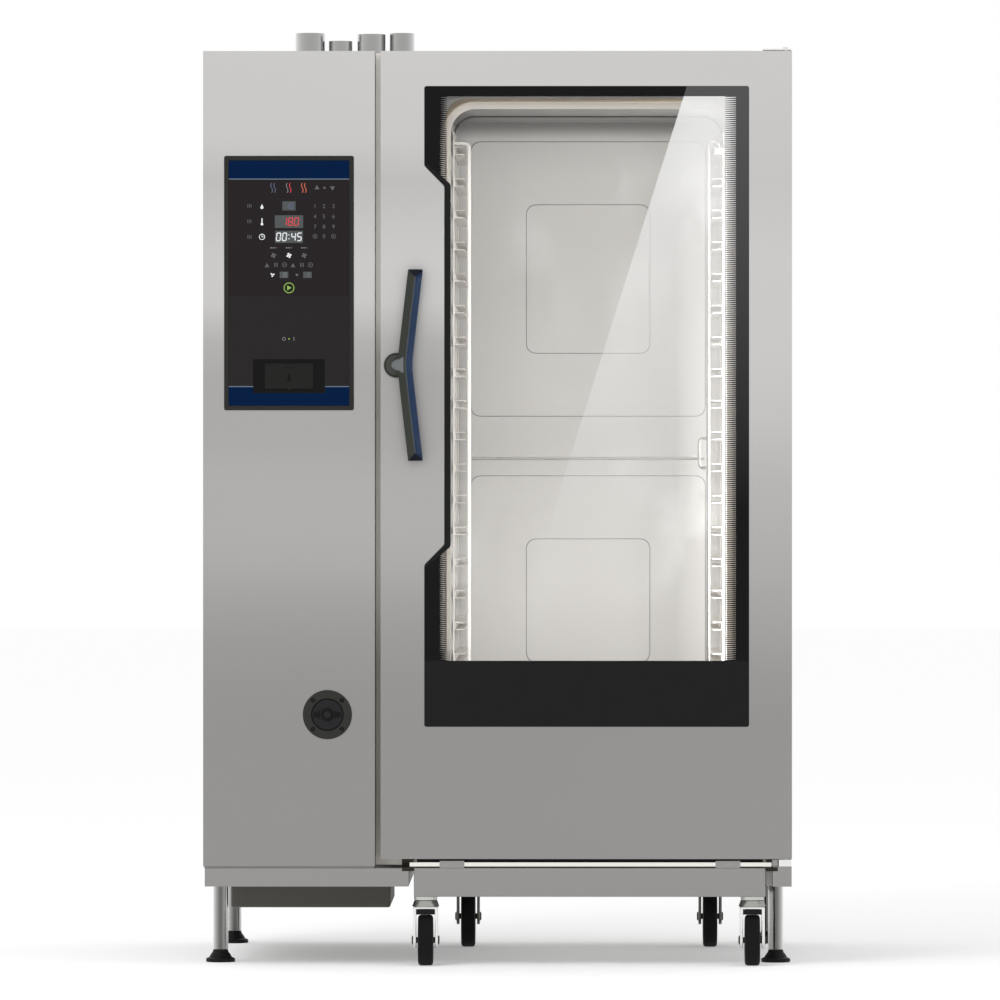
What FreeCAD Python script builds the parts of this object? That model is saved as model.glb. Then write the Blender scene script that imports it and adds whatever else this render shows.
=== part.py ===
"""Roll-in combi steamer oven: cabinet, glazed door, rack trolley and everything they carry.

Frame: origin on the floor under the middle of the oven, +Z up, -Y is the door side, +X is the hinge side.
"""
import FreeCAD
import Part
import math
import os

V = FreeCAD.Vector

# ---- cabinet -------------------------------------------------------------------------------
cabinet_width = 1162.0
cabinet_top = 1805.0
cabinet_bottom = 196.0
front_y = -461.0
rear_y = 513.0
sheet = 1.5
column_width = 339.3
column_gap = 10.9
door_thickness = 66.0
door_rear_gap = 12.0
door_bottom = 210.5
cut_margin = 5.0
hole_clearance = 0.5
pipe_clearance = 1.0
running_clearance = 0.05

# ---- base frame, legs and feet -----------------------------------------------------------
frame_bar_bottom = 156.0
frame_bar_top = 192.0
frame_bar_width = 40.0
side_rail_width = 48.0
frame_inset = 3.0
frame_right_inset = 0.5
floor_front_inset = 12.0
lane_left_offset = 66.3
lane_right_inset = 49.0
corner_block_width = 37.0
leg_radius = 15.0
leg_bottom = 25.3
front_leg_inset = 29.0
front_leg_setback = 150.0
rear_leg_inset = 29.0
rear_leg_setback = 921.0
foot_radius = 29.0
foot_base_height = 8.0
foot_cone_height = 14.0
foot_height = 25.0
foot_stem_radius = 8.0
foot_stem_length = 70.0
foot_stem_relief = 2.0

# ---- cooking cavity ----------------------------------------------------------------------
cavity_left_offset = 148.2
cavity_right_inset = 127.5
cavity_top_inset = 112.0
cavity_floor = 222.0
cavity_back = 419.0
cavity_corner_radius = 49.0
rim_width = 10.0
rim_depth = 2.0
chamber_left_offset = 16.7
chamber_front_setback = 34.0
chamber_top_drop = 3.0
emboss_height = 2.0
emboss_side_gap = 32.0
emboss_split = 0.53
emboss_top_gap = 38.0
emboss_upper_gap = 88.0
emboss_lower_gap = 36.0
emboss_floor_gap = 230.0
emboss_inner_half_width = 127.0
emboss_inner_inset = 130.0
emboss_corner_radius = 20.0
gasket_width = 14.0
gasket_offset = 14.0
gasket_gap = 0.3
insulation_left_offset = 76.7
insulation_over = 70.0

# ---- fans and heating ----------------------------------------------------------------------
fan_y = 18.0
lower_fan_height = 418.0
upper_fan_drop = 363.0
fan_radius = 170.0
fan_hub_radius = 35.0
fan_hub_setback = 20.0
fan_width = 85.0
fan_sheet = 3.0
fan_ring_width = 16.0
fan_blades = 12
fan_blade_length = 60.0
fan_blade_thickness = 2.0
fan_blade_inset = 2.0
fan_blade_turn = 35.0
fan_wall_gap = 10.0
motor_shaft_radius = 8.0
motor_shaft_setback = 22.0
shaft_hole_clearance = 6.0
motor_radius = 70.0
motor_length = 180.0
ring_radius = 190.0
ring_tube_radius = 4.25
ring_count = 3
ring_pitch = 25.0
ring_wall_gap = 12.0
ring_lead_radius = 4.55
ring_lead_angles = (250.0, 290.0)
ring_flange_height = 24.0
ring_flange_thickness = 5.0
intake_radius = 110.0
intake_bar_radius = 3.0
intake_bar_pitch = 36.0
intake_bars_each_side = 2
baffle_gap = 24.0
baffle_tab_height = 40.0
baffle_tab_inset = 60.0

# ---- control panel ---------------------------------------------------------------------------
panel_side_inset = 41.6
panel_top_inset = 207.0
panel_height = 502.0
panel_border = 7.0
panel_rim = 2.0
panel_proud = 2.5
panel_depth = 22.0
panel_corner_radius = 4.0
panel_glass = 4.0
panel_glass_setback = 0.5
board_inset = 15.0
usb_left_inset = 57.4
usb_right_inset = 56.7
usb_bottom_offset = 34.0
usb_height = 66.7
usb_recess = 14.0
flap_left_inset = 22.3
flap_right_inset = 23.4
flap_bottom_inset = 7.4
flap_top_inset = 7.9
flap_thickness = 3.0
flap_clearance = 0.5
flap_tab_width = 16.0
flap_tab_height = 5.0
flap_tab_drop = 3.0
flap_tab_reach = 1.5
board_clearance = 12.0

tank_left_inset = 21.0
tank_right_inset = 58.3
tank_front = 150.0
tank_back = 420.0
tank_top = 640.0
tank_wall = 3.0
tank_round = 20.0
steam_pipe_radius = 15.0
steam_pipe_drop = 40.0
steam_pipe_reach = 12.0
power_box_depth = 100.0
power_box_front = -250.0
power_box_back = 100.0
power_box_bottom = 900.0
power_box_top_drop = 305.0
power_box_wall = 3.0

# ---- hand shower -------------------------------------------------------------------------------
shower_inset = 93.9
shower_z = 495.4
collar_radius = 48.5
collar_proud = 4.0
shower_head_radius = 31.5
shower_head_length = 33.5
shower_head_recess = 0.5
shower_clearance = 0.3
shower_hub_radius = 10.5
shower_hub_height = 5.0
shower_tail_radius = 14.0
shower_tail_length = 190.0
collar_tube_length = 45.0
collar_tube_wall = 3.5
screw_circle_radius = 40.4
screw_head_radius = 4.5
screw_head_height = 1.0
screw_radius = 2.1
screw_clearance = 0.1
reel_radius = 105.0
reel_width = 90.0
reel_guide_lap = 50.0
reel_guide_gap = 30.0
reel_guide_wall = 6.0
reel_block = 40.0
reel_bracket_depth = 60.0

# ---- door --------------------------------------------------------------------------------------
window_left_inset = 86.4
window_right_inset = 84.6
window_bottom = 471.5
window_top_inset = 69.3
window_corner_radius = 4.5
notch_depth = 39.4
notch_top_gap = 157.4
notch_low_reach = 393.6
notch_slope = 40.0
notch_corner_radius = 10.0
trim_width = 12.7
trim_end = 8.0
trim_proud = 0.8
glass_lap = 8.0
glass_setback = 0.2
glass_thickness = 6.0
glass_gap = 0.3
inner_opening_margin = 11.5
inner_opening_bottom = 560.0
inner_opening_over = 20.0
inner_opening_radius = 40.0
inner_glass_lap = 12.0
inner_glass_radius = 48.0
inner_sheet = 2.0
light_width = 16.0
light_depth = 10.0
light_side_gap = 21.0
light_bottom_inset = 60.0
light_top_inset = 40.0
member_top_drop = 20.0
member_height = 40.0
lock_case_half_width = 24.0
lock_case_half_height = 60.0
lock_case_depth = 32.0
edge_bar_width = 12.0
hinge_inset = 12.4
hinge_setback = 15.0
hinge_pin_radius = 5.0
hinge_block = 27.0
hinge_block_height = 26.0
hinge_bore_depth = 24.0
hinge_plate = 3.0
hinge_plate_length = 45.0
hinge_plate_reach = 60.0
hinge_plate_gap = 2.0
hinge_edge_inset = 1.0
hinge_foot_half_width = 13.6
hinge_lift = 1.0
hinge_pin_rise = 8.0
hinge_pin_reach = 20.0

# ---- handle and latch --------------------------------------------------------------------------
handle_inset = 31.1
handle_z = 1184.7
rosette_radius = 24.5
rosette_height = 9.0
rosette_gap = 0.3
boss_radius = 20.0
neck_half_height = 22.0
neck_front_lap = 12.0
neck_back_lap = 8.0
neck_inset = 4.0
handle_reach = 72.0
handle_depth = 36.0
handle_shoulder = 18.0
handle_half_length = 188.5
handle_width = 29.0
handle_ridge = 16.0
handle_bend = 20.6
handle_offset = 3.7
handle_joint_gap = 0.2
spindle_radius = 7.0
spindle_engagement = 16.0
spindle_hole_clearance = 3.0
latch_length = 34.0
latch_height = 12.0
latch_side_gap = 3.0
keeper_gap = 3.0
keeper_width = 8.0
keeper_half_height = 26.0
keeper_depth = 9.0

# ---- trolley -----------------------------------------------------------------------------------
apron_left_gap = 10.1
apron_right_gap = 2.9
apron_bottom = 135.5
apron_top = 192.5
apron_setback = 10.0
apron_depth = 55.0
apron_wall = 2.0
apron_floor = 3.0
docking_rod_radius = 4.0
docking_rod_left_reach = 8.3
docking_rod_right_reach = 11.9
docking_rod_z = 199.0
docking_rod_setback = 21.0
knuckle_width = 49.0
knuckle_depth = 20.0
knuckle_insets = (75.3, 74.1)
knuckle_top = 207.0
dock_block_width = 23.0
dock_block_top = 209.5
dock_block_bottom = 186.6
dock_block_depth = 30.0
dock_block_setback = 6.0
dock_block_offsets = (3.6, 0.6)
rail_width = 30.0
rail_top = 176.0
rail_insets = (27.5, 23.5)
rail_back_gap = 30.0
stanchion_length = 40.0
front_stanchion_gap = 60.0
rear_stanchion_gap = 50.0
cross_rail_height = 30.0
pan_clearance = 2.0
pan_front_setback = 83.0
pan_back_gap = 5.0
pan_height = 18.0
pan_sheet = 2.0
lowest_level_height = 190.0
level_pitch = 63.0
top_level_drop = 80.0
runner_width = 19.5
runner_height = 16.0
runner_setback = 141.0
runner_back_gap = 24.0
post_thickness = 3.0
post_width = 30.0
post_drop = 43.0
post_top_bar = 14.0
post_low_bar = 30.0
post_cross_bar = 8.0
stop_rod_radius = 4.0
stop_rod_inset = 32.0
stop_rod_drop = 65.0
stop_rod_foot = 15.0
stop_rod_lap = 1.0
stop_tab_half_height = 8.0
stop_tab_half_depth = 5.0
lock_bottom = 330.0
lock_pivot_inset = 8.0
lock_bend_radius = 10.0
lock_pin_length = 24.0
lock_setback = 131.0
eye_half_width = 8.0
eye_gap = 1.0
eye_pin_rest = 2.0
grip_z = 1012.0
grip_half = 29.0
grip_reach = 18.0
grip_radius = 3.0
grip_bend_radius = 8.0

# ---- casters -----------------------------------------------------------------------------------
front_caster_insets = (23.3, 26.1)
front_caster_setback = 40.0
caster_trail = 25.0
front_wheel_radius = 50.0
front_wheel_width = 30.0
rear_wheel_setback = 766.0
rear_wheel_radius = 62.5
rear_wheel_width = 29.0
wheel_dish = 5.0
wheel_rim_share = 0.62
wheel_hub_share = 0.3
axle_radius = 6.0
axle_reach = 3.0
fork_plate = 6.0
fork_gap = 3.5
fork_tip_radius = 17.0
fork_plate_half_length = 30.0
fork_plate_thickness = 5.0
crown_bottom = 111.0
crown_thickness = 5.0
crown_reach = 24.0
crown_lap = 1.0
race_radius = 26.5
race_height = 11.0
swivel_plate_radius = 23.0
kingpin_radius = 6.0
swivel_gap = 0.4
tyre_round = 6.0

# ---- rear and top services ---------------------------------------------------------------------
vent_offsets = (-150.8, -88.3, -24.8, 38.2)
vent_radius = (31.0, 25.0, 30.0, 26.0)
vent_height = (73.0, 57.0, 71.0, 73.0)
vent_setback = 850.0
vent_collar = 2.8
vent_collar_height = 3.0
vent_reach = 35.0
inlet_offsets = (61.0, 121.0)
inlet_z = 330.0
inlet_radius = 12.8
inlet_neck_radius = 11.5
inlet_wall = 4.0
inlet_length = 20.0
inlet_reach = 30.0
inlet_nut_radius = 18.0
inlet_nut_height = 6.0
gland_offset = 201.0
gland_z = 330.0
gland_bore_radius = 10.0
gland_radius = 18.0
gland_neck_radius = 13.5
gland_half_length = 18.0
drain_left_inset = 46.0
drain_right_reach = 25.7
drain_front = -200.0
drain_back = 240.0
drain_bottom = 103.0
drain_pipe_radius = 25.0
drain_run_radius = 23.0
drain_elbow_depth = 60.0
drain_wall = 2.0

# ---- derived places ----------------------------------------------------------------------------
half_width = cabinet_width / 2.0
column_right = -half_width + column_width
column_inner_right = column_right - sheet
door_left = column_right + column_gap
door_right = half_width
door_rear_y = front_y + door_thickness
facade_y = door_rear_y + door_rear_gap
liner_front_y = facade_y + sheet
hinge_x = half_width - hinge_inset
hinge_y = front_y + hinge_setback
lane_left = column_right + lane_left_offset
lane_right = half_width - lane_right_inset
cavity_left = column_right + cavity_left_offset
cavity_right = half_width - cavity_right_inset
cavity_middle = (cavity_left + cavity_right) / 2.0
cavity_top = cabinet_top - cavity_top_inset
chamber_left = column_right + chamber_left_offset
chamber_front = facade_y + chamber_front_setback
chamber_top = cavity_top - chamber_top_drop
fan_heights = (cavity_floor + lower_fan_height, cavity_top - upper_fan_drop)
fan_back_x = chamber_left + fan_wall_gap
fan_front_x = fan_back_x + fan_width
panel_left = -half_width + panel_side_inset
panel_right = column_right - panel_side_inset
panel_top = cabinet_top - panel_top_inset
panel_bottom = panel_top - panel_height
panel_face_y = front_y - panel_proud
panel_tray_y = front_y + panel_depth - panel_rim
usb_left = panel_left + usb_left_inset
usb_right = panel_right - usb_right_inset
usb_bottom = panel_bottom + usb_bottom_offset
usb_top = usb_bottom + usb_height
flap_left = usb_left + flap_left_inset
flap_right = usb_right - flap_right_inset
flap_bottom = usb_bottom + flap_bottom_inset
flap_top = usb_top - flap_top_inset
tank_left = -half_width + tank_left_inset
tank_right = column_right - tank_right_inset
shower_x = column_right - shower_inset
shower_face_y = front_y - collar_proud + shower_head_recess
shower_head_end = shower_face_y + shower_head_length
shower_tail_end = shower_head_end + shower_tail_length
window_left = door_left + window_left_inset
window_right = door_right - window_right_inset
window_top = cabinet_top - window_top_inset
notch_low = handle_z - notch_low_reach
notch_high = window_top - notch_top_gap
glass_step_y = front_y + sheet
outer_glass_back = front_y + glass_thickness
inner_sheet_front = door_rear_y - inner_sheet
inner_glass_front = inner_sheet_front - glass_thickness
handle_x = door_left + handle_inset
handle_mid_left = handle_x + handle_offset
handle_front_y = front_y - handle_reach
boss_back_y = front_y - rosette_height - rosette_gap
apron_left = lane_left + apron_left_gap
apron_right = lane_right - apron_right_gap
apron_front = front_y + apron_setback
apron_back = apron_front + apron_depth
rod_y = front_y + docking_rod_setback
rod_left = apron_left - docking_rod_left_reach
rod_right = apron_right + docking_rod_right_reach
knuckle_centres = (apron_left + knuckle_insets[0], apron_right - knuckle_insets[1])
rail_centres = (cavity_left + rail_insets[0], cavity_right - rail_insets[1])
pan_left = cavity_left + pan_clearance
pan_right = cavity_right - pan_clearance
pan_front = front_y + pan_front_setback
pan_back = cavity_back - pan_back_gap
rack_left = pan_left + pan_sheet
rack_right = pan_right - pan_sheet
rack_low = cavity_floor + pan_sheet
runner_front = front_y + runner_setback
runner_back = cavity_back - runner_back_gap
top_level_z = cavity_top - top_level_drop
levels = int((top_level_z - cavity_floor - lowest_level_height) // level_pitch) + 1
post_top = cavity_top - post_drop
stop_rod_top = cavity_top - stop_rod_drop
lock_y = front_y + lock_setback
lock_x = rack_right - post_thickness - lock_pivot_inset
swivel_y = front_y + front_caster_setback
front_axle_y = swivel_y - caster_trail
front_caster_x = (apron_left + front_caster_insets[0], apron_right - front_caster_insets[1])
rear_axle_y = front_y + rear_wheel_setback
vent_x = tuple(column_right + offset for offset in vent_offsets)
vent_y = front_y + vent_setback
inlet_x = tuple(-half_width + offset for offset in inlet_offsets)
gland_x = -half_width + gland_offset
drain_left = -half_width + drain_left_inset
drain_right = column_right + drain_right_reach


def box(x0, x1, y0, y1, z0, z1):
    """Box between six planes."""
    return Part.makeBox(x1 - x0, y1 - y0, z1 - z0, V(x0, y0, z0))


def rod(start, end, radius):
    """Round bar between two points."""
    axis = end - start
    return Part.makeCylinder(radius, axis.Length, start, axis)


def tube(start, end, radius, bore):
    """Round tube between two points."""
    return rod(start, end, radius).cut(rod(start, end, bore))


def fuse(shapes):
    """One solid out of many."""
    return shapes[0].multiFuse(shapes[1:]).removeSplitter()


def cut_all(shape, tools):
    """Shape with every tool taken out."""
    return shape.cut(Part.makeCompound(tools))


def save(name, shape):
    """Write one sub-part as a STEP file."""
    shape.exportStep("parts/" + name + ".step")
    print(name, len(shape.Solids), round(shape.Volume / 1000.0, 1))


def rounded_outline(points, radii, y):
    """Closed wire in a plane of constant Y, with each corner rounded by its radius."""
    count = len(points)
    edges = []
    corners = []
    for index in range(count):
        here = V(points[index][0], y, points[index][1])
        before = V(points[index - 1][0], y, points[index - 1][1])
        after_point = points[(index + 1) % count]
        after = V(after_point[0], y, after_point[1])
        back = (before - here).normalize()
        ahead = (after - here).normalize()
        half_angle = back.getAngle(ahead) / 2.0
        radius = radii[index]
        if radius <= 0.0:
            corners.append((here, None, here))
            continue
        reach = radius / math.tan(half_angle)
        middle = (back + ahead).normalize() * (radius / math.sin(half_angle) - radius)
        corners.append((here + back * reach, here + middle, here + ahead * reach))
    for index in range(count):
        start, middle, end = corners[index]
        if middle is not None:
            edges.append(Part.Arc(start, middle, end).toShape())
        following = corners[(index + 1) % count][0]
        if (following - end).Length > 1e-6:
            edges.append(Part.LineSegment(end, following).toShape())
    return Part.Wire(edges)


def plate(points, radii, y0, y1):
    """Flat plate with a rounded outline, between two planes of constant Y."""
    return Part.Face(rounded_outline(points, radii, y0)).extrude(V(0, y1 - y0, 0))


def rectangle(x0, x1, z0, z1):
    """Corner points of an upright rectangle."""
    return [(x0, z0), (x1, z0), (x1, z1), (x0, z1)]


def bent_rod(points, bends, radius):
    """Round rod along straight runs joined by tangent arcs."""
    edges = []
    start = points[0]
    for index in range(1, len(points) - 1):
        here = points[index]
        back = (points[index - 1] - here).normalize()
        ahead = (points[index + 1] - here).normalize()
        half_angle = back.getAngle(ahead) / 2.0
        reach = bends / math.tan(half_angle)
        middle = (back + ahead).normalize() * (bends / math.sin(half_angle) - bends)
        edges.append(Part.LineSegment(start, here + back * reach).toShape())
        edges.append(Part.Arc(here + back * reach, here + middle, here + ahead * reach).toShape())
        start = here + ahead * reach
    edges.append(Part.LineSegment(start, points[-1]).toShape())
    path = Part.Wire(edges)
    direction = points[1] - points[0]
    section = Part.Wire([Part.makeCircle(radius, points[0], direction)])
    return path.makePipeShell([section], True, False)


# ---- cabinet shell -----------------------------------------------------------------------------
def leg_places():
    """Name and place of each leg."""
    return [
        ("front_left_foot", -half_width + front_leg_inset, front_y + front_leg_setback),
        ("front_right_foot", half_width - front_leg_inset, front_y + front_leg_setback),
        ("rear_left_foot", -half_width + rear_leg_inset, front_y + rear_leg_setback),
        ("rear_right_foot", half_width - rear_leg_inset, front_y + rear_leg_setback),
    ]


def base_frame():
    """Welded frame of rails, open at the front for the trolley, with four leg tubes."""
    low, high = frame_bar_bottom, frame_bar_top
    left = -half_width + frame_inset
    right = half_width - frame_right_inset
    front = front_y + frame_inset
    back = rear_y - frame_inset
    rails = [
        box(left, lane_left, front, front + frame_bar_width, low, high),
        box(left, left + side_rail_width, front, back, low, high),
        box(lane_left - frame_bar_width, lane_left, front, back, low, high),
        box(left, right, back - frame_bar_width, back, low, high),
        box(lane_right, right, front + frame_bar_width, back, low, high),
        box(right - corner_block_width, right, front, front + frame_bar_width, low, cabinet_bottom),
    ]
    for y in (drain_front, drain_back - frame_bar_width):
        rails.append(box(left, lane_left, y, y + frame_bar_width, low, high))
    for _, x, y in leg_places():
        rails.append(rod(V(x, y, leg_bottom), V(x, y, high), leg_radius))
    sockets = []
    for _, x, y in leg_places():
        top = foot_height + foot_stem_length + foot_stem_relief
        sockets.append(rod(V(x, y, 0), V(x, y, top), foot_stem_radius + running_clearance))
    return cut_all(fuse(rails), sockets)


def foot(x, y):
    """Levelling foot: round pad, cone and threaded stem."""
    cone_top = foot_base_height + foot_cone_height
    pad = rod(V(x, y, 0), V(x, y, foot_base_height), foot_radius)
    cone = Part.makeCone(foot_radius, leg_radius, foot_cone_height, V(x, y, foot_base_height))
    nut = rod(V(x, y, cone_top), V(x, y, foot_height), leg_radius)
    stem = rod(V(x, y, foot_height), V(x, y, foot_height + foot_stem_length), foot_stem_radius)
    return fuse([pad, cone, nut, stem])


def floor_panels():
    """Closing sheets on top of the frame, left and right of the trolley lane."""
    inner = half_width - sheet
    left = fuse([
        box(-inner, column_inner_right, front_y + floor_front_inset, rear_y - sheet,
            frame_bar_top, cabinet_bottom),
        box(column_inner_right, cavity_left - sheet, facade_y, rear_y - sheet,
            frame_bar_top, cabinet_bottom),
    ])
    right = box(cavity_right + sheet, inner, facade_y, rear_y - sheet, frame_bar_top, cabinet_bottom)
    corner = box(half_width - frame_right_inset - corner_block_width, inner, front_y, front_y + frame_inset
                 + frame_bar_width, frame_bar_bottom, cabinet_bottom)
    return Part.makeCompound([left, right.cut(corner)])


def side_panel(left):
    """Outer side sheet. The left one reaches the front of the control column."""
    if left:
        return box(-half_width, -half_width + sheet, front_y + sheet, rear_y - sheet,
                   cabinet_bottom, cabinet_top - sheet)
    return box(half_width - sheet, half_width, facade_y, rear_y - sheet,
               cabinet_bottom, cabinet_top - sheet)


def rear_panel():
    """Rear sheet with holes for the water inlets, the cable gland and the drain."""
    places = [(x, inlet_z, inlet_neck_radius) for x in inlet_x]
    places.append((gland_x, gland_z, gland_neck_radius))
    holes = []
    for x, z, radius in places:
        holes.append(rod(V(x, rear_y - cut_margin, z), V(x, rear_y + cut_margin, z),
                         radius + hole_clearance))
    panel = box(-half_width, half_width, rear_y - sheet, rear_y, cabinet_bottom, cabinet_top - sheet)
    return cut_all(panel, holes)


def top_panel():
    """Top sheet, longer over the control column, with holes for the vent pipes."""
    low = cabinet_top - sheet
    panel = fuse([
        box(-half_width, half_width, facade_y, rear_y, low, cabinet_top),
        box(-half_width, column_right, front_y + sheet, facade_y, low, cabinet_top),
    ])
    holes = []
    for x, radius in zip(vent_x, vent_radius):
        holes.append(rod(V(x, vent_y, low - cut_margin), V(x, vent_y, cabinet_top + cut_margin),
                         radius + hole_clearance))
    return cut_all(panel, holes)


def panel_cutout(margin, y0, y1):
    """Block of the control panel's body, with a margin all round."""
    inset = panel_border - margin
    return box(panel_left + inset, panel_right - inset, y0, y1,
               panel_bottom + inset, panel_top - inset)


def column_front_panel():
    """Front sheet of the control column, folded back along the door gap."""
    face = box(-half_width, column_right, front_y, front_y + sheet, cabinet_bottom, cabinet_top)
    fold = box(column_inner_right, column_right, front_y + sheet, facade_y,
               cabinet_bottom, cabinet_top - sheet)
    hole = rod(shower_point(front_y - cut_margin), shower_point(front_y + cut_margin),
               shower_head_radius + collar_tube_wall + hole_clearance)
    window = panel_cutout(hole_clearance, front_y - cut_margin, front_y + cut_margin)
    return cut_all(fuse([face, fold]), [window, hole])


def cavity_points(margin, bottom):
    """Outline of the cavity mouth, offset outwards by a margin."""
    return rectangle(cavity_left - margin, cavity_right + margin, bottom, cavity_top + margin)


def cavity_facade():
    """Inner front of the cabinet with the raised rim of the mouth and the column partition."""
    round_top = cavity_corner_radius
    face = box(column_inner_right, half_width - sheet, facade_y, facade_y + sheet,
               cabinet_bottom, cabinet_top - sheet)
    rim = plate(cavity_points(rim_width, cavity_floor),
                (0, 0, round_top + rim_width, round_top + rim_width), facade_y - rim_depth, facade_y)
    mouth = plate(cavity_points(0, cabinet_bottom - cut_margin), (0, 0, round_top, round_top),
                  facade_y - cut_margin, facade_y + cut_margin)
    partition = box(column_inner_right, column_right, facade_y + sheet, rear_y - sheet,
                    cabinet_bottom, cabinet_top - sheet)
    holes = [mouth]
    for z in fan_heights:
        holes.append(rod(V(column_inner_right - cut_margin, fan_y, z),
                         V(column_right + cut_margin, fan_y, z),
                         motor_shaft_radius + shaft_hole_clearance))
    holes.append(steam_pipe(pipe_clearance))
    for x, radius in zip(vent_x, vent_radius):
        holes.append(rod(V(x, vent_y, cabinet_top - vent_reach - cut_margin),
                         V(x, vent_y, cabinet_top), radius + pipe_clearance))
    return cut_all(fuse([face, rim, partition]), holes)


def cavity_liner():
    """Welded cavity: back, ceiling, right wall and the fan chamber on the left, open below."""
    back = cavity_back + sheet
    top = cavity_top + sheet
    low = cavity_floor
    outer = fuse([
        box(cavity_left - sheet, cavity_right + sheet, liner_front_y, back, low, top),
        box(chamber_left - sheet, cavity_left - sheet, chamber_front - sheet, back, low,
            chamber_top + sheet),
    ])
    hollow = [
        box(cavity_left, cavity_right, liner_front_y - cut_margin, cavity_back, low - cut_margin,
            cavity_top),
        box(chamber_left, cavity_left + cut_margin, chamber_front, cavity_back, low + sheet,
            chamber_top),
    ]
    for z in fan_heights:
        places = [(fan_y, z, motor_shaft_radius + shaft_hole_clearance)]
        places += [(y, lead_z, ring_lead_radius + hole_clearance) for y, lead_z in ring_leads(z)]
        for y, hole_z, radius in places:
            hollow.append(rod(V(chamber_left - cut_margin, y, hole_z),
                              V(chamber_left + cut_margin, y, hole_z), radius))
    hollow.append(steam_pipe(pipe_clearance))
    shell = cut_all(outer, hollow)
    pads = []
    for x0, x1, z0, z1, height in emboss_panels():
        points = rectangle(x0, x1, z0, z1)
        pads.append(plate(points, (emboss_corner_radius,) * 4, cavity_back - height, cavity_back))
    return fuse([shell] + pads)


def emboss_panels():
    """Raised fields of the cavity's back wall: two large ones, each with a smaller one on it."""
    split = cavity_floor + emboss_split * (cavity_top - cavity_floor)
    fields = [
        (split + emboss_upper_gap, cavity_top - emboss_top_gap),
        (cavity_floor + emboss_floor_gap, split - emboss_lower_gap),
    ]
    panels = []
    for low, high in fields:
        panels.append((cavity_left + emboss_side_gap, cavity_right - emboss_side_gap, low, high,
                       emboss_height))
        panels.append((cavity_middle - emboss_inner_half_width, cavity_middle + emboss_inner_half_width,
                       low + emboss_inner_inset, high - emboss_inner_inset, 2 * emboss_height))
    return panels


def insulation():
    """Mineral-wool slabs over, beside and behind the cavity."""
    right = half_width - sheet
    slab_front = facade_y + sheet
    top = box(column_right + insulation_left_offset, right, slab_front, rear_y - sheet,
              cavity_top + sheet, cavity_top + insulation_over)
    side = box(cavity_right + sheet, right, slab_front, rear_y - sheet, cabinet_bottom,
               cavity_top + sheet)
    back = box(column_right, cavity_right + sheet, cavity_back + sheet, rear_y - sheet,
               cabinet_bottom, cavity_top + sheet)
    return fuse([top, side, back])


def fan_baffle():
    """Air-guide sheet in front of the fans, with a round barred intake for each."""
    x0 = cavity_left - sheet
    z_low = cavity_floor + sheet
    z_high = chamber_top
    y_low = chamber_front + baffle_gap
    y_high = cavity_back - baffle_gap
    face = box(x0, cavity_left, y_low, y_high, z_low, z_high)
    holes = []
    bars = []
    for z in fan_heights:
        holes.append(rod(V(x0 - cut_margin, fan_y, z), V(cavity_left + cut_margin, fan_y, z),
                         intake_radius))
        for step in range(-intake_bars_each_side, intake_bars_each_side + 1):
            offset = step * intake_bar_pitch
            reach = math.sqrt(intake_radius ** 2 - offset ** 2) + intake_bar_radius
            bars.append(box(x0, cavity_left, fan_y + offset - intake_bar_radius,
                            fan_y + offset + intake_bar_radius, z - reach, z + reach))
    tab_places = (z_low + baffle_tab_inset, (z_low + z_high) / 2.0,
                  z_high - baffle_tab_inset - baffle_tab_height)
    tabs = [box(chamber_left, x0, y_high - sheet, y_high, z, z + baffle_tab_height)
            for z in tab_places]
    return fuse([cut_all(face, holes)] + bars + tabs)


# ---- fans, motors, heating and steam -------------------------------------------------------------
def fan(z):
    """Radial fan wheel on a shaft along X."""
    hub = rod(V(fan_back_x, fan_y, z), V(fan_front_x - fan_hub_setback, fan_y, z), fan_hub_radius)
    disc = rod(V(fan_back_x, fan_y, z), V(fan_back_x + fan_sheet, fan_y, z), fan_radius)
    ring = tube(V(fan_front_x - fan_sheet, fan_y, z), V(fan_front_x, fan_y, z), fan_radius,
                fan_radius - fan_ring_width)
    pieces = [hub, disc, ring]
    blade_top = z + fan_radius - fan_blade_inset
    half = fan_blade_thickness / 2.0
    for index in range(fan_blades):
        blade = box(fan_back_x, fan_front_x, fan_y - half, fan_y + half,
                    blade_top - fan_blade_length, blade_top)
        blade.rotate(V(0, fan_y, blade_top - fan_blade_length / 2.0), V(1, 0, 0), fan_blade_turn)
        blade.rotate(V(0, fan_y, z), V(1, 0, 0), 360.0 * index / fan_blades)
        pieces.append(blade)
    wheel = fuse(pieces)
    bore = rod(V(fan_back_x - cut_margin, fan_y, z), V(fan_front_x, fan_y, z),
               motor_shaft_radius + running_clearance)
    return wheel.cut(bore)


def fan_motors():
    """Two motors on the column side of the partition, each with its shaft."""
    motors = []
    for z in fan_heights:
        body = rod(V(column_inner_right - motor_length, fan_y, z), V(column_inner_right, fan_y, z),
                   motor_radius)
        shaft = rod(V(column_inner_right, fan_y, z), V(fan_front_x - motor_shaft_setback, fan_y, z),
                    motor_shaft_radius)
        motors.append(fuse([body, shaft]))
    return Part.makeCompound(motors)


def ring_leads(z):
    """Places where the two leads of a heating ring set pass the chamber wall."""
    places = []
    for degrees in ring_lead_angles:
        angle = math.radians(degrees)
        places.append((fan_y + ring_radius * math.cos(angle), z + ring_radius * math.sin(angle)))
    return places


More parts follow.
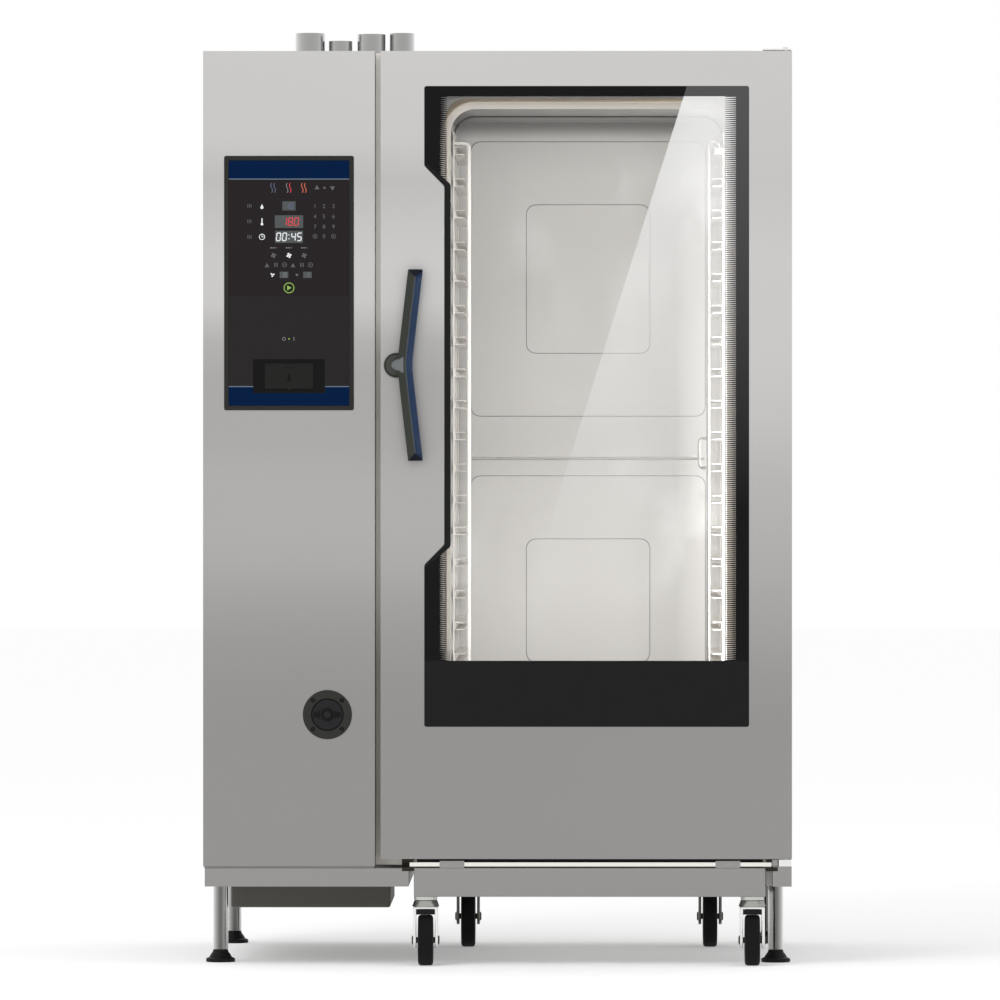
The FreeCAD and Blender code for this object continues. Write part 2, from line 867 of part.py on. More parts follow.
def heating_rings():
    """Tubular heating rings round each fan, held by two leads and a flange on the wall."""
    sets = []
    for z in fan_heights:
        pieces = []
        first_x = fan_back_x + ring_wall_gap
        for index in range(ring_count):
            x = first_x + index * ring_pitch
            pieces.append(Part.makeTorus(ring_radius, ring_tube_radius, V(x, fan_y, z), V(1, 0, 0)))
        for y, lead_z in ring_leads(z):
            pieces.append(rod(V(chamber_left - sheet - ring_flange_thickness, y, lead_z),
                              V(first_x + (ring_count - 1) * ring_pitch, y, lead_z),
                              ring_lead_radius))
        (left_y, lead_z), (right_y, _) = ring_leads(z)
        half = ring_flange_height / 2.0
        pieces.append(box(chamber_left - sheet - ring_flange_thickness, chamber_left - sheet,
                          left_y - half, right_y + half, lead_z - half, lead_z + half))
        sets.append(fuse(pieces))
    return Part.makeCompound(sets)


def steam_pipe(margin):
    """Steam pipe from the generator into the fan chamber, with a margin on its radius."""
    y = (tank_front + tank_back) / 2.0
    z = tank_top - steam_pipe_drop
    return rod(V(tank_right, y, z), V(chamber_left + steam_pipe_reach, y, z),
               steam_pipe_radius + margin)


def steam_generator():
    """Steam boiler on the column floor."""
    tank = box(tank_left, tank_right, tank_front, tank_back, cabinet_bottom, tank_top)
    tank = tank.makeFillet(tank_round, [edge for edge in tank.Edges if abs(edge.tangentAt(0).z) > 0.9])
    water = box(tank_left + tank_wall, tank_right - tank_wall, tank_front + tank_wall,
                tank_back - tank_wall, cabinet_bottom + tank_wall, tank_top - tank_wall)
    inside = [edge for edge in water.Edges if abs(edge.tangentAt(0).z) > 0.9]
    water = water.makeFillet(tank_round - tank_wall, inside)
    return Part.makeCompound([tank.cut(water), steam_pipe(0.0)])


# ---- control panel -------------------------------------------------------------------------------
def control_bezel():
    """Panel housing: frame round the glass, rear tray and the port recess."""
    radii = (panel_corner_radius,) * 4
    frame = plate(rectangle(panel_left, panel_right, panel_bottom, panel_top), radii,
                  panel_face_y, front_y)
    body = panel_cutout(0.0, front_y, front_y + panel_depth)
    pocket = panel_cutout(-panel_rim, panel_face_y - cut_margin, panel_tray_y)
    post = box(usb_left, usb_right, panel_face_y, panel_tray_y, usb_bottom, usb_top)
    recess = box(flap_left - flap_clearance, flap_right + flap_clearance, panel_face_y - cut_margin,
                 panel_face_y + usb_recess, flap_bottom - flap_clearance, flap_top + flap_clearance)
    return fuse([fuse([frame, body]).cut(pocket), post]).cut(recess)


def control_glass():
    """Front glass of the panel, round the port recess."""
    front = panel_face_y + panel_glass_setback
    pocket = panel_cutout(-panel_rim - glass_gap, front, front + panel_glass)
    port = box(usb_left, usb_right, front - cut_margin, front + panel_glass + cut_margin, usb_bottom,
               usb_top)
    return pocket.cut(port)


def control_board():
    """Display and processor board between the glass and the rear tray."""
    front = panel_face_y + panel_glass_setback + panel_glass
    return box(panel_left + board_inset, panel_right - board_inset, front, panel_tray_y,
               usb_top + board_clearance, panel_top - board_inset)


def usb_flap():
    """Cover flap of the service port, hinged along its lower edge."""
    pivot_y = panel_face_y + flap_thickness / 2.0
    pivot_z = flap_bottom + flap_thickness / 2.0
    leaf = box(flap_left, flap_right, panel_face_y, panel_face_y + flap_thickness, pivot_z, flap_top)
    barrel = rod(V(flap_left, pivot_y, pivot_z), V(flap_right, pivot_y, pivot_z),
                 flap_thickness / 2.0)
    middle = (flap_left + flap_right) / 2.0
    tab_top = flap_top - flap_tab_drop
    tab = box(middle - flap_tab_width / 2.0, middle + flap_tab_width / 2.0,
              panel_face_y - flap_tab_reach, panel_face_y, tab_top - flap_tab_height, tab_top)
    return fuse([leaf, barrel, tab])


def power_electronics():
    """Contactor and power box on the left side panel."""
    inner = -half_width + sheet
    wall = power_box_wall
    high = cabinet_top - power_box_top_drop
    case = box(inner, inner + power_box_depth, power_box_front, power_box_back, power_box_bottom,
               high)
    hollow = box(inner + wall, inner + power_box_depth - wall, power_box_front + wall,
                 power_box_back - wall, power_box_bottom + wall, high - wall)
    return case.cut(hollow)


# ---- hand shower -----------------------------------------------------------------------------------
def shower_point(y):
    """Point on the shower's axis."""
    return V(shower_x, y, shower_z)


def screw_places():
    """Centres of the four collar screws."""
    reach = screw_circle_radius / math.sqrt(2.0)
    return [(shower_x + sx * reach, shower_z + sz * reach) for sx in (-1, 1) for sz in (-1, 1)]


def spray_collar():
    """Round collar with a guide tube for the shower head."""
    bore = shower_head_radius + shower_clearance
    flange = tube(shower_point(front_y - collar_proud), shower_point(front_y), collar_radius, bore)
    sleeve = tube(shower_point(front_y), shower_point(front_y + collar_tube_length),
                  shower_head_radius + collar_tube_wall, bore)
    holes = [rod(V(x, front_y - cut_margin, z), V(x, front_y, z), screw_radius + screw_clearance)
             for x, z in screw_places()]
    return cut_all(fuse([flange, sleeve]), holes)


def spray_collar_screws():
    """Four countersunk screws of the collar."""
    screws = []
    for x, z in screw_places():
        seat = front_y - collar_proud
        head = rod(V(x, seat - screw_head_height, z), V(x, seat, z), screw_head_radius)
        shank = rod(V(x, seat, z), V(x, front_y - screw_clearance, z), screw_radius)
        screws.append(fuse([head, shank]))
    return Part.makeCompound(screws)


def spray_gun():
    """Pull-out hand shower: head, hub button, grip marks and tail."""
    head = rod(shower_point(shower_face_y), shower_point(shower_head_end), shower_head_radius)
    hub = rod(shower_point(shower_face_y - shower_hub_height), shower_point(shower_face_y),
              shower_hub_radius)
    tail = rod(shower_point(shower_head_end), shower_point(shower_tail_end), shower_tail_radius)
    return fuse([head, hub, tail])


def hose_reel():
    """Hose reel drum on the column floor side, with a guide tube for the shower tail."""
    guide_end = shower_tail_end + reel_guide_gap
    guide = tube(shower_point(shower_tail_end - reel_guide_lap), shower_point(guide_end),
                 shower_tail_radius + reel_guide_wall, shower_tail_radius + shower_clearance)
    centre_y = guide_end + reel_radius
    half = reel_block / 2.0
    drum = rod(V(shower_x - reel_width / 2.0, centre_y, shower_z),
               V(shower_x + reel_width / 2.0, centre_y, shower_z), reel_radius)
    nozzle = box(shower_x - half, shower_x + half, guide_end, centre_y, shower_z - half, shower_z + half)
    bracket = box(shower_x, column_inner_right, centre_y - reel_bracket_depth / 2.0,
                  centre_y + reel_bracket_depth / 2.0, shower_z - half, shower_z + half)
    return fuse([drum, nozzle, bracket, guide])


# ---- services --------------------------------------------------------------------------------------
def vent_pipes():
    """Four open vent pipes through the top, each with a collar."""
    pipes = []
    y = vent_y
    for x, radius, height in zip(vent_x, vent_radius, vent_height):
        pipe = rod(V(x, y, cabinet_top - vent_reach), V(x, y, cabinet_top + height), radius)
        collar = rod(V(x, y, cabinet_top), V(x, y, cabinet_top + vent_collar_height), radius + vent_collar)
        bore = rod(V(x, y, cabinet_top - vent_reach), V(x, y, cabinet_top + height), radius - sheet)
        pipes.append(fuse([pipe, collar]).cut(bore))
    return Part.makeCompound(pipes)


def drain_box():
    """Condensate box under the column, with an outlet pipe to the rear."""
    high = frame_bar_bottom
    outer = box(drain_left, drain_right, drain_front, drain_back, drain_bottom, high)
    inner = box(drain_left + drain_wall, drain_right - drain_wall, drain_front + drain_wall,
                drain_back - drain_wall, drain_bottom + drain_wall, high - drain_wall)
    x = (drain_left + drain_right) / 2.0
    z = high - drain_pipe_radius
    half = drain_pipe_radius
    elbow = box(x - half, x + half, drain_back - drain_elbow_depth, drain_back, z - half, high)
    wall = drain_wall
    cleared = box(x - half + wall, x + half - wall, drain_back - drain_elbow_depth + wall,
                  drain_back - wall, z - half + wall, high - wall)
    start = V(x, drain_back - wall, z)
    exit_face = V(x, rear_y, z)
    end = V(x, rear_y + inlet_length, z)
    run = rod(start, exit_face, drain_run_radius)
    spigot = rod(exit_face, end, drain_pipe_radius)
    bore = rod(start, end, drain_run_radius - wall)
    return cut_all(fuse([outer, elbow, run, spigot]), [inner, cleared, bore])


def water_inlets():
    """Two threaded water inlets on the rear panel."""
    inlets = []
    for x in inlet_x:
        start, end = V(x, rear_y - inlet_reach, inlet_z), V(x, rear_y + inlet_length, inlet_z)
        neck = rod(start, V(x, rear_y, inlet_z), inlet_neck_radius)
        spigot = rod(V(x, rear_y, inlet_z), end, inlet_radius)
        nut = rod(V(x, rear_y - sheet - inlet_nut_height, inlet_z), V(x, rear_y - sheet, inlet_z),
                  inlet_nut_radius)
        bore = rod(start, end, inlet_radius - inlet_wall)
        inlets.append(fuse([neck, spigot, nut]).cut(bore))
    return Part.makeCompound(inlets)


def cable_gland():
    """Cable entry on the rear panel, empty."""
    start, end = rear_y - gland_half_length, rear_y + gland_half_length
    nut = rod(V(gland_x, rear_y, gland_z), V(gland_x, end, gland_z), gland_radius)
    neck = rod(V(gland_x, start, gland_z), V(gland_x, rear_y, gland_z), gland_neck_radius)
    bore = rod(V(gland_x, start, gland_z), V(gland_x, end, gland_z), gland_bore_radius)
    return fuse([nut, neck]).cut(bore)


# ---- hinges, latch keeper, gasket, docking -----------------------------------------------------------
def door_hinges():
    """Upper and lower hinge brackets with their pins."""
    left = hinge_x - hinge_plate_length
    right = half_width - hinge_edge_inset
    front = front_y + hinge_edge_inset
    back = facade_y + hinge_plate_reach
    low = cabinet_top + hinge_lift
    upper = fuse([
        box(left, right, front, back, low, low + hinge_plate),
        box(left, right, facade_y + hinge_plate_gap, back, cabinet_top, low),
        rod(V(hinge_x, hinge_y, cabinet_top - hinge_pin_reach),
            V(hinge_x, hinge_y, cabinet_top + hinge_pin_rise), hinge_pin_radius),
    ])
    lower = fuse([
        box(hinge_x - hinge_foot_half_width, right, front, facade_y, cabinet_bottom,
            door_bottom - hinge_lift),
        rod(V(hinge_x, hinge_y, cabinet_bottom), V(hinge_x, hinge_y, door_bottom + hinge_pin_reach),
            hinge_pin_radius),
    ])
    return Part.makeCompound([upper, lower])


def latch_keeper():
    """Two upright cheeks on the facade, with the latch bar between them."""
    inner = math.hypot(latch_length, latch_height) / 2.0 + keeper_gap
    cheeks = []
    for near, far in ((inner, inner + keeper_width), (-inner - keeper_width, -inner)):
        cheeks.append(box(handle_x + near, handle_x + far, facade_y - keeper_depth, facade_y,
                          handle_z - keeper_half_height, handle_z + keeper_half_height))
    return Part.makeCompound(cheeks)


def door_gasket():
    """Rubber seal round the mouth, open below where the trolley closes the cavity."""
    inner = gasket_offset
    outer = inner + gasket_width
    low = cavity_floor
    round_in = cavity_corner_radius + inner
    front = door_rear_y + gasket_gap
    ring = plate(cavity_points(outer, low), (0, 0, round_in + gasket_width, round_in + gasket_width),
                 front, facade_y)
    hole = plate(cavity_points(inner, low - cut_margin), (0, 0, round_in, round_in),
                 front - cut_margin, facade_y + cut_margin)
    return ring.cut(hole)


def docking_blocks():
    """Two slotted blocks on the base frame that take the trolley's docking rod."""
    blocks = []
    frame = base_frame()
    front = front_y + dock_block_setback
    half = docking_rod_radius + hole_clearance
    for centre in (rod_left - dock_block_offsets[0], rod_right + dock_block_offsets[1]):
        x0 = centre - dock_block_width / 2.0
        x1 = centre + dock_block_width / 2.0
        body = box(x0, x1, front, front + dock_block_depth, dock_block_bottom, dock_block_top)
        slot = box(x0 - cut_margin, x1 + cut_margin, front - cut_margin, rod_y + half,
                   docking_rod_z - half, docking_rod_z + half)
        blocks.append(body.cut(slot).cut(frame))
    return Part.makeCompound(blocks)


# ---- door ----------------------------------------------------------------------------------------
def window_points(margin):
    """Outline of the window, with the handle notch, offset outwards by a margin."""
    left = window_left - margin
    right = window_right + margin
    notch_x = window_left + notch_depth - margin
    return [
        (left, window_bottom - margin),
        (right, window_bottom - margin),
        (right, window_top + margin),
        (left, window_top + margin),
        (left, notch_high),
        (notch_x, notch_high - notch_slope),
        (notch_x, notch_low + notch_slope),
        (left, notch_low),
    ]


def window_radii():
    """Corner radii of the window outline."""
    return (window_corner_radius,) * 4 + (notch_corner_radius,) * 4


def window_trim():
    """Slim trim strip along the handle notch of the window."""
    notch_x = window_left + notch_depth
    inner_x = notch_x + trim_width
    points = [
        (window_left, notch_high),
        (notch_x, notch_high - notch_slope),
        (notch_x, notch_low + notch_slope),
        (window_left, notch_low),
        (window_left, notch_low - trim_end),
        (inner_x, notch_low + notch_slope - trim_end / 2.0),
        (inner_x, notch_high - notch_slope + trim_end / 2.0),
        (window_left, notch_high + trim_end),
    ]
    radii = (0, notch_corner_radius, notch_corner_radius, 0, 0, notch_corner_radius,
             notch_corner_radius, 0)
    strip = plate(points, radii, front_y - trim_proud, front_y + sheet)
    opening = plate(window_points(-glass_gap), window_radii(), front_y - cut_margin,
                    front_y + cut_margin)
    return strip.common(opening)


def outer_glass():
    """Front glass, stepped: flush in the window and lapping behind the door skin."""
    flush = plate(window_points(-glass_gap), window_radii(), front_y + glass_setback, glass_step_y)
    lap = plate(window_points(glass_lap), window_radii(), glass_step_y, outer_glass_back)
    return fuse([flush.cut(window_trim()), lap])


def hinge_block_at(z0, z1):
    """Bearing block of the door round the hinge axis."""
    return box(door_right - sheet - hinge_block, door_right - sheet, front_y + sheet,
               front_y + sheet + hinge_block, z0, z1)


def hinge_bores():
    """Pin bores at both ends of the door."""
    radius = hinge_pin_radius + running_clearance
    return [
        rod(V(hinge_x, hinge_y, door_bottom - cut_margin),
            V(hinge_x, hinge_y, door_bottom + hinge_bore_depth), radius),
        rod(V(hinge_x, hinge_y, cabinet_top - hinge_bore_depth),
            V(hinge_x, hinge_y, cabinet_top + cut_margin), radius),
    ]


def door_skin():
    """Folded outer shell of the door with the window opening."""
    outer = box(door_left, door_right, front_y, door_rear_y, door_bottom, cabinet_top)
    inner = box(door_left + sheet, door_right - sheet, front_y + sheet, door_rear_y + cut_margin,
                door_bottom + sheet, cabinet_top - sheet)
    window = plate(window_points(0.0), window_radii(), front_y - cut_margin, front_y + cut_margin)
    handle_hole = rod(V(handle_x, front_y - cut_margin, handle_z),
                      V(handle_x, front_y + cut_margin, handle_z),
                      spindle_radius + spindle_hole_clearance)
    return cut_all(outer.cut(inner), [window, handle_hole] + hinge_bores())


def inner_opening(margin):
    """Corner points of the inner glass opening, offset outwards by a margin."""
    reach = inner_opening_margin + margin
    return rectangle(cavity_left - reach, cavity_right + reach, inner_opening_bottom - margin,
                     cavity_top + inner_opening_over + margin)


def door_inner_frame():
    """Rear sheet of the door with the glass opening, hinge blocks and cross members."""
    x0, x1 = door_left + sheet, door_right - sheet
    z0, z1 = door_bottom + sheet, cabinet_top - sheet
    back = box(x0, x1, inner_sheet_front, door_rear_y, z0, z1)
    opening = plate(inner_opening(0.0), (inner_opening_radius,) * 4, door_rear_y - cut_margin,
                    door_rear_y + cut_margin)
    spindle = rod(V(handle_x, front_y, handle_z), V(handle_x, door_rear_y + cut_margin, handle_z),
                  spindle_radius + running_clearance)
    lock_case = box(handle_x - lock_case_half_width, handle_x + lock_case_half_width,
                    inner_sheet_front - lock_case_depth, inner_sheet_front,
                    handle_z - lock_case_half_height, handle_z + lock_case_half_height)
    member_top = window_bottom - member_top_drop
    member = box(x0, x1, glass_step_y, inner_sheet_front, member_top - member_height, member_top)
    blocks = [
        hinge_block_at(z0, z0 + hinge_block_height),
        hinge_block_at(z1 - hinge_block_height, z1),
        box(x1 - edge_bar_width, x1, glass_step_y + hinge_block, inner_sheet_front, z0, z1),
        lock_case,
        member,
    ]
    return cut_all(fuse([back] + blocks), [opening, spindle] + hinge_bores())


def inner_glass():
    """Inner glass, lying on the front of the inner frame."""
    return plate(inner_opening(inner_glass_lap), (inner_glass_radius,) * 4, inner_glass_front,
                 inner_sheet_front)


def door_lights():
    """Two upright light strips on the back of the outer glass, beside the clear field."""
    strips = []
    for x in (cavity_left - light_side_gap - light_width, cavity_right + light_side_gap):
        strips.append(box(x, x + light_width, outer_glass_back, outer_glass_back + light_depth,
                          inner_opening_bottom + light_bottom_inset, cavity_top - light_top_inset))
    return Part.makeCompound(strips)


# ---- handle --------------------------------------------------------------------------------------
def handle_rosette():
    """Round base plate of the handle on the door."""
    return tube(V(handle_x, front_y - rosette_height, handle_z), V(handle_x, front_y, handle_z),
                rosette_radius, spindle_radius + running_clearance)


def handle_section(x_left, z, from_ridge):
    """Cross-section of the handle, either left or right of its ridge."""
    back = handle_front_y + handle_depth
    shoulder = handle_front_y + handle_shoulder
    ridge_x = x_left + handle_ridge
    if from_ridge:
        side = x_left + handle_width
        start = ridge_x + handle_joint_gap
        points = [(start, back), (side, back), (side, shoulder), (start, handle_front_y)]
    else:
        points = [(ridge_x, back), (x_left, back), (x_left, shoulder), (ridge_x, handle_front_y)]
    vectors = [V(x, y, z) for x, y in points]
    return Part.makePolygon(vectors + vectors[:1])


def handle_half(from_ridge):
    """Bent bar on one side of the ridge: bottom end, bend at the spindle, top end."""
    middle = handle_mid_left
    end = handle_mid_left + handle_bend
    wires = [
        handle_section(end, handle_z - handle_half_length, from_ridge),
        handle_section(middle, handle_z, from_ridge),
        handle_section(end, handle_z + handle_half_length, from_ridge),
    ]
    return Part.makeLoft(wires, True, True)


def handle_lever():
    """Left half of the bent handle bar, with its boss."""
    boss_front = handle_front_y + handle_depth
    boss = rod(V(handle_x, boss_back_y, handle_z), V(handle_x, boss_front, handle_z), boss_radius)
    neck = box(handle_x - boss_radius + neck_inset, handle_mid_left + handle_ridge,
               boss_front - neck_front_lap, boss_front + neck_back_lap,
               handle_z - neck_half_height, handle_z + neck_half_height)
    socket = rod(V(handle_x, boss_back_y + cut_margin, handle_z),
                 V(handle_x, boss_back_y - spindle_engagement, handle_z),
                 spindle_radius + running_clearance)
    lever = fuse([handle_half(False), neck.cut(handle_half(True)), boss])
    return lever.cut(handle_half(True)).cut(socket)


def handle_spindle():
    """Spindle through the door with the latch bar on its inner end."""
    bar_front = door_rear_y + latch_side_gap
    bar_back = facade_y - latch_side_gap
    shaft = rod(V(handle_x, boss_back_y - spindle_engagement, handle_z),
                V(handle_x, bar_back, handle_z), spindle_radius)
    bar = box(handle_x - latch_length / 2.0, handle_x + latch_length / 2.0, bar_front, bar_back,
              handle_z - latch_height / 2.0, handle_z + latch_height / 2.0)
    return fuse([shaft, bar])


# ---- trolley -------------------------------------------------------------------------------------
def caster_plate(x):
    """Fixed plate and king pin of a swivel caster under the apron."""
    low = crown_bottom + crown_thickness + race_height + swivel_gap
    plate_solid = rod(V(x, swivel_y, low), V(x, swivel_y, apron_bottom), swivel_plate_radius)
    pin = rod(V(x, swivel_y, crown_bottom + crown_lap), V(x, swivel_y, low), kingpin_radius)
    return fuse([plate_solid, pin])


def trolley_apron():
    """Front cross member of the trolley with docking rod, knuckles and caster plates."""
    tube_solid = box(apron_left, apron_right, apron_front, apron_back, apron_bottom, apron_top)
    wall = apron_wall
    hollow = box(apron_left + wall, apron_right - wall, apron_front + wall, apron_back - wall,
                 apron_bottom + apron_floor, apron_top - wall)
    pieces = [tube_solid.cut(hollow)]
    pieces.append(rod(V(rod_left, rod_y, docking_rod_z), V(rod_right, rod_y, docking_rod_z),
                      docking_rod_radius))
    for x in knuckle_centres:
        half = knuckle_width / 2.0
        pieces.append(box(x - half, x + half, rod_y - knuckle_depth / 2.0,
                          rod_y + knuckle_depth / 2.0, apron_top - wall, knuckle_top))
    pieces += [caster_plate(x) for x in front_caster_x]
    return fuse(pieces)


def trolley_frame():
    """Two long rails, a rear cross rail and four stanchions to the base pan."""
    back = pan_back - rail_back_gap
    front_start = apron_back + front_stanchion_gap
    rear_start = back - rear_stanchion_gap - stanchion_length
    pieces = []
    for x in rail_centres:
        half = rail_width / 2.0
        pieces.append(box(x - half, x + half, apron_back, back, apron_bottom, rail_top))
        for y in (front_start, rear_start):
            pieces.append(box(x - half, x + half, y, y + stanchion_length, rail_top, cavity_floor))
    left, right = rail_centres
    pieces.append(box(left, right, back - rail_width, back, apron_bottom, rail_top))
    pieces.append(box(left, right, front_start, front_start + stanchion_length,
                      rail_top - cross_rail_height, rail_top))
    return fuse(pieces)


def trolley_base_pan():
    """Shallow pan that closes the cavity floor and carries the rack."""
    outer = box(pan_left, pan_right, pan_front, pan_back, cavity_floor, cavity_floor + pan_height)
    inner = box(pan_left + pan_sheet, pan_right - pan_sheet, pan_front + pan_sheet,
                pan_back - pan_sheet, cavity_floor + pan_sheet, cavity_floor + pan_height + cut_margin)
    return outer.cut(inner)


def rack_posts():
    """Six flat posts on the pan, low cross bars, the fixed stop rod and the lock's eyes."""
    middle = (runner_front + runner_back) / 2.0
    starts = (runner_front, middle - post_width / 2.0, runner_back - post_width)
    low_bar_top = rack_low + post_low_bar
    pieces = []
    for x in (rack_left, rack_right - post_thickness):
        for y in starts:
            pieces.append(box(x, x + post_thickness, y, y + post_width, rack_low, post_top))
        pieces.append(box(x, x + post_thickness, runner_front, runner_back, post_top - post_top_bar,
                          post_top))
        pieces.append(box(x, x + post_thickness, runner_front, runner_back, rack_low, low_bar_top))
    for y in (starts[0], starts[2]):
        pieces.append(box(rack_left, rack_right, y, y + post_cross_bar, rack_low, low_bar_top))
    stop_x = rack_left + stop_rod_inset
    edge = rack_left + post_thickness
    stop_low = rack_low + stop_rod_foot
    path = [
        V(edge - stop_rod_lap, lock_y, stop_rod_top),
        V(stop_x, lock_y, stop_rod_top),
        V(stop_x, lock_y, stop_low),
        V(edge - stop_rod_lap, lock_y, stop_low),
    ]
    pieces.append(bent_rod(path, lock_bend_radius, stop_rod_radius))
    for z in (stop_rod_top, stop_low):
        pieces.append(box(rack_left, edge, lock_y - stop_tab_half_depth, runner_front,
                          z - stop_tab_half_height, z + stop_tab_half_height))
    for z0, z1 in lock_eyes():
        eye = box(lock_x - eye_half_width, rack_right, lock_y - eye_half_width, runner_front, z0, z1)
        bore = rod(V(lock_x, lock_y, z0 - cut_margin), V(lock_x, lock_y, z1 + cut_margin),
                   stop_rod_radius + running_clearance)
        pieces.append(eye.cut(bore))
    return fuse(pieces)


def lock_eyes():
    """Heights of the two eyes that carry the tray lock."""
    near = lock_bend_radius + eye_gap
    far = lock_pin_length - eye_pin_rest
    return [(stop_rod_top - far, stop_rod_top - near), (lock_bottom + near, lock_bottom + far)]


def tray_lock_bar():
    """Swinging rod that holds the trays in, with a D-shaped grip at half height."""
    bar_x = rack_right - stop_rod_inset
    path = [
        V(lock_x, lock_y, stop_rod_top - lock_pin_length),
        V(lock_x, lock_y, stop_rod_top),
        V(bar_x, lock_y, stop_rod_top),
        V(bar_x, lock_y, lock_bottom),
        V(lock_x, lock_y, lock_bottom),
        V(lock_x, lock_y, lock_bottom + lock_pin_length),
    ]
    grip_path = [
        V(bar_x, lock_y, grip_z + grip_half),
        V(bar_x - grip_reach, lock_y, grip_z + grip_half),
        V(bar_x - grip_reach, lock_y, grip_z - grip_half),
        V(bar_x, lock_y, grip_z - grip_half),
    ]
    return fuse([bent_rod(path, lock_bend_radius, stop_rod_radius),
                 bent_rod(grip_path, grip_bend_radius, grip_radius)])


def tray_runners():
    """Pairs of channel runners, one pair per level."""
    runners = []
    for level in range(levels):
        z = top_level_z - level * level_pitch - runner_height / 2.0
        for side in (1, -1):
            wall = rack_left + post_thickness if side > 0 else rack_right - post_thickness
            x0, x1 = sorted((wall, wall + side * runner_width))
            w0, w1 = sorted((wall, wall + side * sheet))
            runners.append(fuse([
                box(w0, w1, runner_front, runner_back, z, z + runner_height),
                box(x0, x1, runner_front, runner_back, z, z + sheet),
                box(x0, x1, runner_front, runner_back, z + runner_height - sheet, z + runner_height),
            ]))
    return Part.makeCompound(runners)


# ---- casters -------------------------------------------------------------------------------------
def wheel(x, y, radius, width):
    """Wheel with a rounded tread, a recessed disc each side and an axle bore."""
    half = width / 2.0
    body = rod(V(x - half, y, radius), V(x + half, y, radius), radius)
    body = body.makeFillet(tyre_round, [edge for edge in body.Edges if edge.Closed])
    cuts = [rod(V(x - half - cut_margin, y, radius), V(x + half + cut_margin, y, radius),
                axle_radius + running_clearance)]
    for side in (-1, 1):
        start = V(x + side * (half - wheel_dish), y, radius)
        end = V(x + side * (half + cut_margin), y, radius)
        cuts.append(tube(start, end, radius * wheel_rim_share, radius * wheel_hub_share))
    return cut_all(body, cuts)


def fork_sides(x, y, radius, width, top):
    """Two cheeks and the axle of a caster fork."""
    half = width / 2.0 + fork_gap
    end = half + fork_plate + axle_reach
    pieces = [rod(V(x - end, y, radius), V(x + end, y, radius), axle_radius)]
    for inner in (x - half - fork_plate, x + half):
        pieces.append(box(inner, inner + fork_plate, y - fork_tip_radius, y + fork_tip_radius,
                          radius, top))
        pieces.append(rod(V(inner, y, radius), V(inner + fork_plate, y, radius), fork_tip_radius))
    return pieces


def front_caster_fork(x):
    """Swivelling fork with its ball race and axle."""
    pieces = fork_sides(x, front_axle_y, front_wheel_radius, front_wheel_width,
                        crown_bottom + crown_lap)
    half = front_wheel_width / 2.0 + fork_gap + fork_plate
    top = crown_bottom + crown_thickness
    pieces.append(box(x - half, x + half, front_axle_y - fork_tip_radius, swivel_y + crown_reach,
                      crown_bottom, top))
    pieces.append(rod(V(x, swivel_y, top), V(x, swivel_y, top + race_height), race_radius))
    bore = rod(V(x, swivel_y, crown_bottom - cut_margin), V(x, swivel_y, top + race_height + cut_margin),
               kingpin_radius + running_clearance)
    return fuse(pieces).cut(bore)


def rear_caster_forks():
    """Two fixed forks under the long rails, with their axles."""
    forks = []
    for x in rail_centres:
        pieces = fork_sides(x, rear_axle_y, rear_wheel_radius, rear_wheel_width, apron_bottom)
        half = rear_wheel_width / 2.0 + fork_gap + fork_plate
        pieces.append(box(x - half, x + half, rear_axle_y - fork_plate_half_length,
                          rear_axle_y + fork_plate_half_length,
                          apron_bottom - fork_plate_thickness, apron_bottom))
        forks.append(fuse(pieces))
    return Part.makeCompound(forks)


def main():
    """Build and write every sub-part."""
    os.makedirs("parts", exist_ok=True)
    save("base_frame", base_frame())
    save("floor_panels", floor_panels())
    save("left_side_panel", side_panel(True))
    save("right_side_panel", side_panel(False))
    save("rear_panel", rear_panel())
    save("top_panel", top_panel())
    save("column_front_panel", column_front_panel())
    save("cavity_facade", cavity_facade())
    save("cavity_liner", cavity_liner())
    save("insulation", insulation())
    save("fan_baffle", fan_baffle())
    save("fan_motors", fan_motors())
    save("heating_rings", heating_rings())
    save("steam_generator", steam_generator())
    save("control_bezel", control_bezel())
    save("control_glass", control_glass())
    save("control_board", control_board())
    save("power_electronics", power_electronics())
    save("spray_collar", spray_collar())
    save("spray_collar_screws", spray_collar_screws())
    save("hose_reel", hose_reel())
    save("vent_pipes", vent_pipes())
    save("drain_box", drain_box())
    save("water_inlets", water_inlets())
    save("cable_gland", cable_gland())
    save("door_hinges", door_hinges())
    save("latch_keeper", latch_keeper())
    save("door_gasket", door_gasket())
    save("docking_blocks", docking_blocks())
    save("door_skin", door_skin())
    save("door_inner_frame", door_inner_frame())
    save("outer_glass", outer_glass())
    save("inner_glass", inner_glass())
    save("window_trim", window_trim())
    save("door_lights", door_lights())
    save("handle_rosette", handle_rosette())
    save("handle_lever", handle_lever())
    save("handle_insert", handle_half(True))
    save("handle_spindle", handle_spindle())
    save("trolley_frame", trolley_frame())
    save("trolley_base_pan", trolley_base_pan())
    save("trolley_apron", trolley_apron())
    save("rack_posts", rack_posts())
    save("tray_runners", tray_runners())
    save("rear_caster_forks", rear_caster_forks())
    save("tray_lock_bar", tray_lock_bar())
    save("lower_fan", fan(fan_heights[0]))
    save("upper_fan", fan(fan_heights[1]))
    save("usb_flap", usb_flap())
    save("spray_gun", spray_gun())
    for side, x in zip(("left", "right"), front_caster_x):
        save("front_" + side + "_caster_fork", front_caster_fork(x))
        save("front_" + side + "_wheel", wheel(x, front_axle_y, front_wheel_radius, front_wheel_width))
    for side, x in zip(("left", "right"), rail_centres):
        save("rear_" + side + "_wheel", wheel(x, rear_axle_y, rear_wheel_radius, rear_wheel_width))
    for name, x, y in leg_places():
        save(name, foot(x, y))


main()
